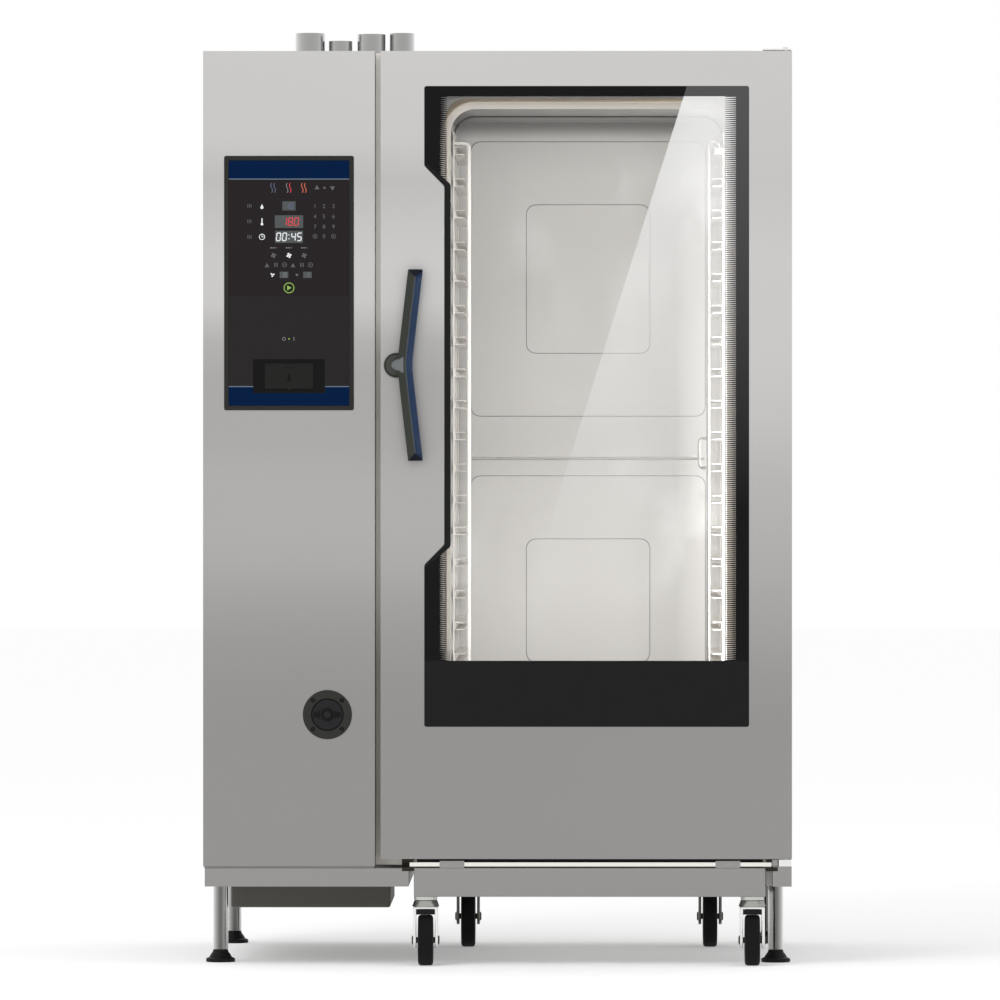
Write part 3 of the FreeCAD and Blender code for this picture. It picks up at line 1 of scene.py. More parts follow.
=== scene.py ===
"""Roll-in combi steamer oven: finishes, detailed pieces and studio around the fixed frame."""

import logging
import math
from dataclasses import dataclass
from enum import Enum
from typing import Callable, Optional, Sequence, Union

import bmesh
import bpy
from mathutils import Matrix, Vector


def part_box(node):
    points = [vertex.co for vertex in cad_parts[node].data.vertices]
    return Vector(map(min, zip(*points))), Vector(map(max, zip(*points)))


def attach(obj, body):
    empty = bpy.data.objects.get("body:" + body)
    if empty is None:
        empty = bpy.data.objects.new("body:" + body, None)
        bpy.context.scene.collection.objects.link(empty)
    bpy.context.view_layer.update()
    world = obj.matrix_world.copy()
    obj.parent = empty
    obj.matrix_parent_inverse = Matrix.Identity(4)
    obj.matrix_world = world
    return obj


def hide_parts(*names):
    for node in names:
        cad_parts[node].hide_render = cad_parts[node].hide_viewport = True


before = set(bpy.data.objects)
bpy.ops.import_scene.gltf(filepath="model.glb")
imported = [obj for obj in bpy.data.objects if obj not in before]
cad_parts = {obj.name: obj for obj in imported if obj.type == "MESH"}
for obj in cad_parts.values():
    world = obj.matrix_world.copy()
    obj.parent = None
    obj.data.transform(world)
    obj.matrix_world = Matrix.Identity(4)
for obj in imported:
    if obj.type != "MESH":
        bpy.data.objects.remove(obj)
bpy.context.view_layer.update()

logging.basicConfig(level=logging.INFO, format="%(message)s")
LOG = logging.getLogger("oven")

MM = 0.001
MERGE = 0.000002
SMOOTH = 32.0
FIGURE_SCALE = 1.4
GRAIN_DEPTH = 0.00002
Colour = tuple[float, float, float]
Point = tuple[float, float, float]
Flat = tuple[float, float]
Rows = tuple[Flat, ...]
WHITE = (1.0, 1.0, 1.0, 1.0)


def srgb(red: float, green: float, blue: float) -> Colour:
    """Turn a display colour into a linear one.

    Args:
        red: Red from 0 to 255.
        green: Green from 0 to 255.
        blue: Blue from 0 to 255.

    Returns:
        The linear colour.
    """
    linear = []
    for channel in (red, green, blue):
        value = channel / 255.0
        linear.append(value / 12.92 if value <= 0.04045 else ((value + 0.055) / 1.055) ** 2.4)
    return (linear[0], linear[1], linear[2])


# ---- shader toolkit ----------------------------------------------------------------------------
def operation(name: str, reflected: bool = False) -> Callable[["Value", "Number"], "Value"]:
    """Make an arithmetic method that adds one Math node.

    Args:
        name: The node's operation.
        reflected: Whether the other number comes first.

    Returns:
        The method.
    """
    def apply(self: "Value", other: "Number") -> "Value":
        """Add the node."""
        return self.maths(name, *((other, self) if reflected else (self, other)))

    return apply


class Value:
    """A shader socket that takes part in Python arithmetic."""

    def __init__(self, shader: "Shader", socket: bpy.types.NodeSocket) -> None:
        """Wrap one output socket."""
        self.shader = shader
        self.socket = socket

    def maths(self, operation: str, *values: "Number") -> "Value":
        """Add one Math node."""
        return self.shader.node("Math", {"operation": operation}, dict(enumerate(values)))

    __add__ = operation("ADD")
    __radd__ = operation("ADD", True)
    __sub__ = operation("SUBTRACT")
    __rsub__ = operation("SUBTRACT", True)
    __mul__ = operation("MULTIPLY")
    __rmul__ = operation("MULTIPLY", True)
    __truediv__ = operation("DIVIDE")
    __gt__ = operation("GREATER_THAN")
    __lt__ = operation("LESS_THAN")
    larger = operation("MAXIMUM")

    def fraction(self) -> "Value":
        """The part after the decimal point."""
        return self.maths("FRACT", self)

    def between(self, low: float, high: float) -> "Value":
        """One between two limits, nought elsewhere."""
        return (self > low) * (self < high)

    def ramp(self, low: float, high: float) -> "Value":
        """Rise from nought at low to one at high, held beyond."""
        inputs = {"Value": self, "From Min": low, "From Max": high}
        return self.shader.node("MapRange", {"clamp": True}, inputs)


Number = Union[Value, float]


class Shader:
    """One procedural material or world under construction."""

    def __init__(self, name: str, kind: str = "materials") -> None:
        """Start an empty one.

        Args:
            name: Its name.
            kind: Where it goes in bpy.data.
        """
        self.holder = getattr(bpy.data, kind).new(name)
        self.holder.use_nodes = True
        self.tree = self.holder.node_tree
        self.tree.nodes.clear()

    def node(self, kind: str, settings: Optional[dict] = None, inputs: Optional[dict] = None,
             output: Union[int, str] = 0) -> Value:
        """Add a node, set it and link it.

        Args:
            kind: The node's type without its prefix.
            settings: Attributes to set first; "stops" fills a colour ramp.
            inputs: Values or links by socket name or index.
            output: The output to return.

        Returns:
            The wrapped output.
        """
        made = self.tree.nodes.new("ShaderNode" + kind)
        for key, value in (settings or {}).items():
            if key == "stops":
                self._fill_ramp(made.color_ramp, value)
            else:
                setattr(made, key, value)
        for key, value in (inputs or {}).items():
            if isinstance(value, Value):
                self.tree.links.new(value.socket, made.inputs[key])
            else:
                made.inputs[key].default_value = value
        return Value(self, made.outputs[output])

    @staticmethod
    def _fill_ramp(ramp: bpy.types.ColorRamp, stops: Sequence[tuple[float, Colour]]) -> None:
        """Put stops on a colour ramp.

        Args:
            ramp: The ramp to fill.
            stops: Places with their colours.
        """
        while len(ramp.elements) < len(stops):
            ramp.elements.new(1.0)
        for element, (place, colour) in zip(ramp.elements, stops):
            element.position = place
            element.color = (*colour, 1.0)

    def axes(self) -> tuple[Value, Value, Value]:
        """The surface point's x, y and z in metres."""
        point = self.point()
        return tuple(self.node("SeparateXYZ", {}, {0: point}, axis) for axis in range(3))

    def point(self) -> Value:
        """The surface point as a vector."""
        return self.node("TexCoord", {}, {}, "Object")

    def noise(self, scale: Sequence[float], detail: float = 3.0, rough: float = 0.5,
              turn: Sequence[float] = (0.0, 0.0, 0.0)) -> Value:
        """Stretched noise in object space.

        Args:
            scale: Cycles per metre along x, y and z.
            detail: Octaves.
            rough: Share of each further octave.
            turn: Rotation of the pattern in radians.

        Returns:
            The noise, about a half on average.
        """
        placed = self.node("Mapping", {},
                           {"Vector": self.point(), "Scale": tuple(scale), "Rotation": tuple(turn)})
        inputs = {"Vector": placed, "Scale": 1.0, "Detail": detail, "Roughness": rough}
        return self.node("TexNoise", {}, inputs)

    def blend(self, share: Number, first: Union[Value, Colour], second: Union[Value, Colour]) -> Value:
        """Mix two colours.

        Args:
            share: How much of the second.
            first: Colour at nought.
            second: Colour at one.

        Returns:
            The mixed colour.
        """
        picked = [c if isinstance(c, Value) else (*c, 1.0) for c in (first, second)]
        return self.node("Mix", {"data_type": "RGBA"},
                         {0: share, 6: picked[0], 7: picked[1]}, 2)

    def rise(self, height: Value, levels: Sequence[tuple[float, Colour]]) -> Value:
        """Colour that changes with height.

        Args:
            height: The surface point's z.
            levels: Heights with the colours there.

        Returns:
            The colour.
        """
        low, high = levels[0][0], levels[-1][0]
        stops = [((level - low) / (high - low), colour) for level, colour in levels]
        return self.node("ValToRGB", {"stops": stops}, {"Fac": height.ramp(low, high)})

    def tinted(self, colour: Union[Value, Colour], factor: Value) -> Value:
        """Multiply a colour by a number."""
        picked = colour if isinstance(colour, Value) else tuple(colour)
        return self.node("VectorMath", {"operation": "SCALE"}, {0: picked, "Scale": factor})

    def edge(self, power: float = 1.0) -> Value:
        """How far the surface turns away from the viewer, nought when square on."""
        facing = self.node("LayerWeight", {}, {"Blend": 0.5}, "Facing")
        return facing.maths("POWER", facing, power)

    def bump(self, height: Value, distance: float, strength: float = 1.0) -> Value:
        """Turn a height into a normal."""
        return self.node("Bump", {},
                         {"Height": height, "Distance": distance, "Strength": strength})

    def principled(self, **sockets: object) -> Value:
        """Add a Principled shader.

        Args:
            sockets: Inputs with underscores for spaces.

        Returns:
            The shader's output.
        """
        inputs = {}
        for key, value in sockets.items():
            if isinstance(value, tuple) and len(value) == 3:
                value = (*value, 1.0)
            inputs[key.replace("_", " ")] = value
        return self.node("BsdfPrincipled", {}, inputs)

    def finish(self, surface: Value, output: str = "OutputMaterial") -> bpy.types.ID:
        """Connect the surface to the output.

        Args:
            surface: The shader to show.
            output: The output node's type.

        Returns:
            The finished material or world.
        """
        shown = self.tree.nodes.new("ShaderNode" + output)
        self.tree.links.new(surface.socket, shown.inputs["Surface"])
        return self.holder


# ---- finishes ------------------------------------------------------------------------------------
class Grain(Enum):
    """Direction of the brushing, as cycles per metre along x, y and z."""

    ALONG_X = (3.0, 3.0, 900.0)
    FLAT_TOP = (3.0, 900.0, 3.0)
    NONE = (60.0, 60.0, 60.0)


@dataclass(frozen=True)
class BrushedSteel:
    """Stainless sheet with brushing and smears; its tone rows over its height, and the far rows blended in
    across x, are painted light and painted shade for how light and reflections fall on it.
    """

    name: str
    tones: Rows = ((0.0, 149.0), (1.9, 149.0))
    far_painted_light: Rows = ()
    span: Flat = (0.0, 0.4)
    warmth: float = 2.0
    gain: float = 1.0
    roughness: float = 0.36
    metallic: float = 1.0
    grain: Grain = Grain.ALONG_X
    contrast: float = 0.05
    lip_highlight_tone: float = 0.0
    lip_depth: float = -383.2 * MM

    def levels(self, tones: Rows) -> list[tuple[float, Colour]]:
        """Warm colours for some tones.

        Args:
            tones: Heights with their display tones.

        Returns:
            The heights with their linear colours.
        """
        warm, gain = self.warmth, self.gain
        return [(level, tuple(c * gain for c in srgb(tone, tone - warm * 0.6, tone - warm * 1.4)))
                for level, tone in tones]

    def build(self) -> bpy.types.Material:
        """Make the material."""
        shader = Shader(self.name)
        x, y, z = shader.axes()
        base = shader.rise(z, self.levels(self.tones))
        # The far rows blend in across x: a painted lighter or darker side.
        if self.far_painted_light:
            base = shader.blend(x.ramp(*self.span), base, shader.rise(z, self.levels(self.far_painted_light)))
        # A brighter tone on the liner's front lip: a painted highlight on the flange, which lies in shade.
        if self.lip_highlight_tone:
            base = shader.blend(y < self.lip_depth, base, srgb(*(self.lip_highlight_tone,) * 3))
        brushed = shader.noise(self.grain.value, 4.0, 0.6)
        smears = shader.noise((1.6, 1.6, 2.6), 2.0, 0.5, (0.0, 0.5, 0.0))
        shade = 1.0 + self.contrast * (brushed - 0.5) + 0.06 * (smears - 0.5)
        rough = self.roughness + 0.12 * (brushed - 0.5) + 0.10 * (smears - 0.5)
        return shader.finish(shader.principled(
            Base_Color=shader.tinted(base, shade), Metallic=self.metallic, Roughness=rough,
            Normal=shader.bump(brushed, GRAIN_DEPTH, 0.35)))


@dataclass(frozen=True)
class SatinMetal:
    """Plain metal with a fine mottle: castings, tubes, forks, screws and rods; where a rim colour is given,
    it is blended in towards the grazing edges as a painted highlight when light and as painted shade when
    dark.
    """

    name: str
    colour: Colour
    roughness: float = 0.25
    mottle: float = 0.08
    scale: float = 160.0
    rim: Optional[Colour] = None
    hold: float = 3.0

    def build(self) -> bpy.types.Material:
        """Make the material."""
        shader = Shader(self.name)
        fine = shader.noise((self.scale,) * 3, 4.0, 0.6)
        broad = shader.noise((9.0, 9.0, 9.0), 2.0)
        shade = 1.0 + self.mottle * (fine - 0.5) + 0.08 * (broad - 0.5)
        rough = self.roughness + 0.10 * (fine - 0.5) + 0.08 * (broad - 0.5)
        colour = srgb(*self.colour)
        # Rim colour towards the grazing edges: a painted highlight when light, painted shade when dark.
        if self.rim:
            colour = shader.blend(shader.edge(self.hold), colour, srgb(*self.rim))
        return shader.finish(shader.principled(
            Base_Color=shader.tinted(colour, shade), Metallic=1.0, Roughness=rough,
            Normal=shader.bump(fine, GRAIN_DEPTH, 0.3)))


@dataclass(frozen=True)
class Moulded:
    """Moulded plastic or rubber with a fine spark-eroded grain and slight scuffs."""

    name: str
    colour: Colour
    roughness: float = 0.42
    grain: float = 1400.0
    depth: float = 0.00003
    scuffs: float = 0.10
    gloss: float = 0.12

    def build(self) -> bpy.types.Material:
        """Make the material."""
        shader = Shader(self.name)
        fine = shader.noise((self.grain,) * 3, 2.0, 0.6)
        broad = shader.noise((22.0, 22.0, 22.0), 4.0, 0.65)
        shade = 1.0 + 0.10 * (fine - 0.5) + 0.5 * self.scuffs * (broad - 0.5)
        rough = self.roughness + self.scuffs * (broad - 0.5)
        return shader.finish(shader.principled(
            Base_Color=shader.tinted(srgb(*self.colour), shade), Roughness=rough,
            Specular_IOR_Level=self.gloss, Normal=shader.bump(fine, self.depth, 0.5)))


@dataclass(frozen=True)
class Fibre:
    """Matted mineral wool with long soft fibres."""

    name: str
    colour: Colour

    def build(self) -> bpy.types.Material:
        """Make the material."""
        shader = Shader(self.name)
        strands = shader.noise((40.0, 260.0, 90.0), 6.0, 0.75, (0.3, 0.5, 0.8))
        clumps = shader.noise((18.0, 18.0, 18.0), 3.0)
        shade = 0.75 + 0.5 * strands + 0.2 * (clumps - 0.5)
        return shader.finish(shader.principled(
            Base_Color=shader.tinted(srgb(*self.colour), shade), Roughness=0.95,
            Normal=shader.bump(strands + clumps, 0.002, 0.8)))


@dataclass(frozen=True)
class Glow:
    """Lit mark or lamp with an even emission; the docking rod and the trim's edge lines glow with it too,
    as painted highlights.
    """

    name: str
    colour: Colour
    strength: float = 1.0

    def build(self) -> bpy.types.Material:
        """Make the material."""
        shader = Shader(self.name)
        cloud = shader.noise((300.0, 300.0, 300.0), 1.0)
        lit = shader.tinted(srgb(*self.colour), 0.94 + 0.12 * cloud)
        return shader.finish(shader.principled(
            Base_Color=(0.02, 0.02, 0.02), Roughness=0.4, Emission_Color=lit,
            Emission_Strength=self.strength))


@dataclass(frozen=True)
class ClearGlass:
    """Thin clear pane: see-through with a gloss that grows at a slant."""

    name: str
    tint: Colour = (0.93, 0.94, 0.93)
    gloss: float = 0.22

    def surface(self, shader: Shader) -> Value:
        """Clear part of a pane.

        Args:
            shader: The material under construction.

        Returns:
            The shader of the clear glass.
        """
        fresnel = shader.node("Fresnel", {}, {"IOR": 1.45}) * self.gloss
        clear = shader.node("BsdfTransparent", {}, {"Color": (*self.tint, 1.0)})
        mirror = shader.node("BsdfGlossy", {}, {"Color": (1, 1, 1, 1), "Roughness": 0.02})
        return shader.node("MixShader", {}, {0: fresnel, 1: clear, 2: mirror})

    def build(self) -> bpy.types.Material:
        """Make the material."""
        shader = Shader(self.name)
        film = shader.noise((7.0, 7.0, 5.0), 3.0).ramp(0.55, 0.9) * 0.03
        haze = shader.node("BsdfDiffuse", {}, {"Color": (0.8, 0.8, 0.8, 1.0)})
        return shader.finish(shader.node("MixShader", {},
                                         {0: film, 1: self.surface(shader), 2: haze}))


@dataclass(frozen=True)
class PrintedGlass:
    """Door pane with a black printed border that fades into the clear field as fine bars, and a painted
    reflection: a glowing sheen on its right part, right of a slanting line.
    """

    name: str
    clear_left: float = -99.6 * MM
    clear_right: float = 448.8 * MM
    fade_left: float = -125.0 * MM
    fade_right: float = 470.5 * MM
    clear_low: float = 601.7 * MM
    clear_high: float = 1715.4 * MM
    bar_pitch: float = 4.15 * MM
    bar_least: float = 0.22
    bar_growth: float = 0.5
    left_gain: float = 2.6
    ink: Colour = srgb(16, 16, 17)
    band_ink: Colour = srgb(27, 27, 27)
    sheen_place: Point = (129.2 * MM, 958.8 * MM, 0.3148)
    clear_sheen: Rows = ((0.70, 0.0), (0.95, 0.07), (1.20, 0.18), (1.45, 0.3), (1.60, 0.42), (1.70, 0.6))
    ink_sheen: Rows = ((0.90, 0.0), (1.20, 0.033), (1.50, 0.068), (1.72, 0.09))

    def build(self) -> bpy.types.Material:
        """Make the material."""
        shader = Shader(self.name)
        x, _, z = shader.axes()
        inside_fade = x.between(self.fade_left, self.fade_right)
        inside_fade = inside_fade * z.between(self.clear_low, self.clear_high)
        left = x.ramp(self.clear_left, self.fade_left)
        right = x.ramp(self.clear_right, self.fade_right)
        width = (self.left_gain * left).larger(right)
        in_band = width > 0.001
        bars = (z / self.bar_pitch).fraction() < (self.bar_least + self.bar_growth * width)
        printed = (1.0 - inside_fade).larger(bars * in_band)
        dust = shader.noise((35.0, 35.0, 20.0), 4.0)
        colour = shader.blend(z < self.clear_low, self.ink, self.band_ink)
        ink = shader.principled(Base_Color=shader.tinted(colour, 0.9 + 0.2 * dust),
                                Roughness=0.045, Specular_IOR_Level=0.08)
        clear = ClearGlass(self.name, (0.985, 0.985, 0.985)).surface(shader)
        surface = shader.node("MixShader", {}, {0: printed, 1: clear, 2: ink})
        # Painted reflection: sheen shares by height for the clear field and for the ink, kept right of a
        # slanting line.
        painted_sheen_levels = [shader.rise(z, [(level, (share,) * 3) for level, share in shares])
                 for shares in (self.clear_sheen, self.ink_sheen)]
        share = (1.0 - printed) * painted_sheen_levels[0] + printed * painted_sheen_levels[1]
        across, up, slope = self.sheen_place
        share = share * (x > across + slope * (z - up))
        # The sheen is an emission mixed in: a painted reflection of a bright light, not a lamp.
        glare = shader.node("Emission", {}, {"Color": (0.9, 0.9, 0.895, 1.0), "Strength": 1.0})
        return shader.finish(shader.node("MixShader", {}, {0: share, 1: surface, 2: glare}))


@dataclass(frozen=True)
class PanelGlass:
    """Control glass: blue bands above and below, black display field and a finely ruled field."""

    name: str
    top_band: float = 1552.2 * MM
    ruled_top: float = 1321.8 * MM
    low_band: float = 1142.8 * MM
    line: float = 0.9 * MM
    rule_pitch: float = 2.05 * MM
    rule_share: float = 0.45
    blue: Colour = srgb(0, 26, 61)
    black: Colour = srgb(37, 33, 34)
    ruled: Colour = srgb(40, 38, 38)
    pale: Colour = srgb(104, 116, 132)

    def build(self) -> bpy.types.Material:
        """Make the material."""
        shader = Shader(self.name)
        _, _, z = shader.axes()
        rule = (z / self.rule_pitch).fraction() < self.rule_share
        low = shader.blend(rule * 0.5, self.ruled, self.black)
        field = shader.blend(z > self.ruled_top, low, self.black)
        banded = shader.blend((z > self.top_band).larger(z < self.low_band), field, self.blue)
        lines = z.between(self.top_band - self.line, self.top_band + self.line)
        lines = lines.larger(z.between(self.low_band - self.line, self.low_band + self.line))
        colour = shader.blend(lines, banded, self.pale)
        dust = shader.noise((60.0, 60.0, 60.0), 3.0)
        return shader.finish(shader.principled(
            Base_Color=shader.tinted(colour, 0.95 + 0.1 * dust), Roughness=0.16 + 0.06 * dust,
            Specular_IOR_Level=0.04))


# Tone rows by height are painted light and shade: the front and side steel is painted lighter high up and
# darker low down, and the right rows give the door's right part its own painted gradient.
FRONT_PAINTED_LIGHT = ((0.20, 147.0), (0.48, 147.0), (0.56, 149.0), (0.64, 154.0), (0.72, 162.0), (0.80, 172.0),
               (0.86, 175.0), (0.96, 175.0), (1.04, 171.0), (1.16, 171.0), (1.23, 179.0), (1.31, 203.0),
               (1.39, 205.0), (1.47, 199.0), (1.55, 192.0), (1.63, 203.0), (1.80, 205.0))
RIGHT_PAINTED_LIGHT = ((0.20, 149.0), (0.48, 148.0), (0.56, 152.0), (0.64, 160.0), (0.72, 167.0), (0.80, 174.0),
               (0.96, 183.0), (1.08, 196.0), (1.20, 203.0), (1.39, 205.0), (1.55, 199.0), (1.80, 205.0))
# Facade and rim rows: painted light that brightens the facade and the cavity rim round the window, which
# lie in shade behind the door.
FACADE_PAINTED_LIGHT = ((0.20, 182.0), (0.30, 154.0), (0.60, 157.0), (0.70, 190.0), (0.80, 208.0), (0.95, 211.0),
                (1.10, 189.0), (1.20, 199.0), (1.29, 243.0), (1.39, 248.0), (1.59, 234.0), (1.80, 252.0))
RIM_PAINTED_LIGHT = ((0.20, 236.0), (1.80, 236.0))
# Liner rows by height: painted light, with painted shade on the ceiling from 1.685 m up; the near rows
# paint the right part lighter where the side lamp falls.
CAVITY_PAINTED_LIGHT = ((0.20, 208.0), (0.72, 206.0), (1.04, 182.0), (1.35, 186.0), (1.59, 203.0), (1.66, 199.0),
                (1.685, 120.0), (1.80, 120.0))
NEAR_PAINTED_LIGHT = ((0.20, 252.0), (1.66, 252.0), (1.80, 236.0))


class Palette:
    """Every finish of the oven, each built once."""

    def __init__(self) -> None:
        """Build the materials."""
        finishes = {
            "front": BrushedSteel("front_steel", FRONT_PAINTED_LIGHT, RIGHT_PAINTED_LIGHT, gain=0.98),
            "side": BrushedSteel("side_steel", FRONT_PAINTED_LIGHT, gain=0.95),
            "top": BrushedSteel("top_steel", ((0.0, 196.0), (1.9, 198.0)), grain=Grain.FLAT_TOP),
            "rear": BrushedSteel("rear_steel", ((0.0, 150.0), (1.9, 176.0)), roughness=0.45),
            "base": BrushedSteel("base_steel", ((0.1, 150.0), (0.3, 151.0)), gain=0.98),
            "facade": BrushedSteel("facade_steel", FACADE_PAINTED_LIGHT, RIM_PAINTED_LIGHT, (-0.22, -0.16), 8.0),
            "cavity": BrushedSteel("cavity_steel", CAVITY_PAINTED_LIGHT, NEAR_PAINTED_LIGHT, (0.36, 0.46), 1.5,
                                   roughness=0.6, metallic=0.2, grain=Grain.NONE, contrast=0.03,
                                   lip_highlight_tone=236.0),
            "galvanised": SatinMetal("galvanised_sheet", (150, 152, 153), 0.5, 0.25, 30.0),
            # Rack wire rows: the right part is painted near white, a painted highlight where the side lamp
            # falls.
            "rack": BrushedSteel("rack_wire", ((0.2, 232.0), (1.7, 228.0)), ((0.2, 253.0), (1.7, 253.0)),
                                 (0.10, 0.36), 5.0, roughness=0.34, metallic=0.5, grain=Grain.NONE),
            "chrome": SatinMetal("bright_chrome", (224, 224, 222), 0.12, 0.04),
            "zinc": SatinMetal("zinc_plate", (196, 196, 192), 0.26, 0.1),
            # Polished tubes: a dark middle with white grazing edges, a painted reflection.
            "tube": SatinMetal("polished_tube", (98, 99, 95), 0.16, 0.05, rim=(255, 255, 255), hold=0.8),
            "vent": SatinMetal("vent_tube", (160, 160, 159), 0.16, 0.05, rim=(255, 255, 255), hold=1.3),
            "screw": SatinMetal("screw_steel", (70, 70, 68), 0.35),
            "cast": SatinMetal("cast_aluminium", (150, 150, 150), 0.5, 0.2, 240.0),
            "heater": SatinMetal("heater_sheath", (92, 84, 74), 0.45, 0.2),
            "brass": SatinMetal("turned_brass", (190, 158, 92), 0.3),
            "drain": Moulded("drain_paint", (98, 96, 91), 0.5),
            "black": Moulded("black_moulding", (24, 24, 23), 0.38),
            "bezel": Moulded("bezel_moulding", (40, 40, 38), 0.34),
            "port": Moulded("port_black", (6, 6, 6), 0.4),
            "flap": Moulded("flap_grey", (26, 26, 25), 0.45),
            "collar": Moulded("collar_moulding", (46, 46, 43), 0.5),
            "spray": Moulded("spray_moulding", (33, 32, 34), 0.45),
            # Darker copy of the insert blue: painted shade on the handle's end facets.
            "tip": Moulded("tip_shaded_navy", (12, 16, 30), 0.3),
            "boss": Moulded("boss_grey", (66, 67, 62), 0.36),
            "block": Moulded("docking_block", (40, 39, 33), 0.45),
            "fork": SatinMetal("fork_chrome", (228, 228, 226), 0.2, 0.06),
            # Rear forks with painted bright grazing edges; the swivel head with darker grazing edges as
            # painted shade.
            "rear_fork": SatinMetal("rear_fork_zinc", (104, 104, 100), 0.3, 0.1,
                                    rim=(250, 250, 248), hold=3.0),
            "head": SatinMetal("swivel_head", (164, 164, 160), 0.22, 0.1, rim=(90, 90, 86), hold=2.0),
            # Dark pressing lines are painted crease shade; the bright rib line is a painted highlight.
            "line": SatinMetal("crease_shade_steel", (96, 94, 92), 0.4),
            "ridge_line": SatinMetal("rib_highlight_line", (250, 249, 246), 0.3),
            "lever": Moulded("lever_grey", (53, 55, 50), 0.4),
            # Lighter grey along the handle's crest: a painted highlight.
            "ridge": Moulded("crest_highlight_grey", (78, 84, 90), 0.35),
            # Light grey neck: a painted highlight.
            "neck": Moulded("neck_highlight_grey", (108, 112, 112), 0.36),
            "blue": Moulded("insert_blue", (31, 52, 84), 0.36),
            "tyre": Moulded("tyre_rubber", (17, 17, 18), 0.6, 500.0, 0.00008),
            "foot": Moulded("foot_moulding", (24, 23, 23), 0.45),
            "seal": Moulded("seal_silicone", (156, 143, 125), 0.55, 700.0, 0.00006),
            "trim": Moulded("trim_gloss", (22, 22, 22), 0.12, 300.0, 0.00001, 0.04),
            "case": Moulded("power_case", (88, 90, 92), 0.5),
            "board": Moulded("circuit_board", (20, 66, 40), 0.4, 260.0, 0.0003),
            "lock": SatinMetal("lock_rod", (250, 249, 246), 0.2),
            # Docking rod glow: a painted highlight, not a lamp.
            "bright_rod": Glow("glowing_dock_rod", (232, 230, 224)),
            "hub": Moulded("hub_moulding", (34, 34, 34), 0.5),
            "white_part": Moulded("white_moulding", (205, 205, 203), 0.5),
            "door_back": BrushedSteel("door_back_steel", ((0.2, 176.0), (1.8, 184.0))),
            "wool": Fibre("mineral_wool", (198, 182, 128)),
            "clear": ClearGlass("clear_glass", (0.97, 0.967, 0.96)),
            "window": PrintedGlass("window_glass"),
            "panel": PanelGlass("panel_glass"),
            "lamp": Glow("lamp_glow", (255, 250, 240), 5.0),
            # Trim edge glow: a painted highlight.
            "pale_line": Glow("trim_bevel_glow", (176, 174, 170)),
            "white_mark": Glow("white_mark", (235, 238, 240)),
            "dim_mark": Glow("dim_mark", (80, 78, 79)),
            "grey_mark": Glow("grey_mark", (118, 118, 120)),
            "red_mark": Glow("red_mark", (215, 28, 44)),
            "orange_mark": Glow("orange_mark", (206, 92, 66)),
            "green_mark": Glow("green_mark", (132, 178, 62)),
            "blue_mark": Glow("blue_mark", (72, 84, 116)),
            "screen_mark": Glow("screen_mark", (50, 56, 57)),
        }
        self.made = {name: finish.build() for name, finish in finishes.items()}

    def __getitem__(self, name: str) -> bpy.types.Material:
        """The finish of that name."""
        return self.made[name]


PALETTE = Palette()


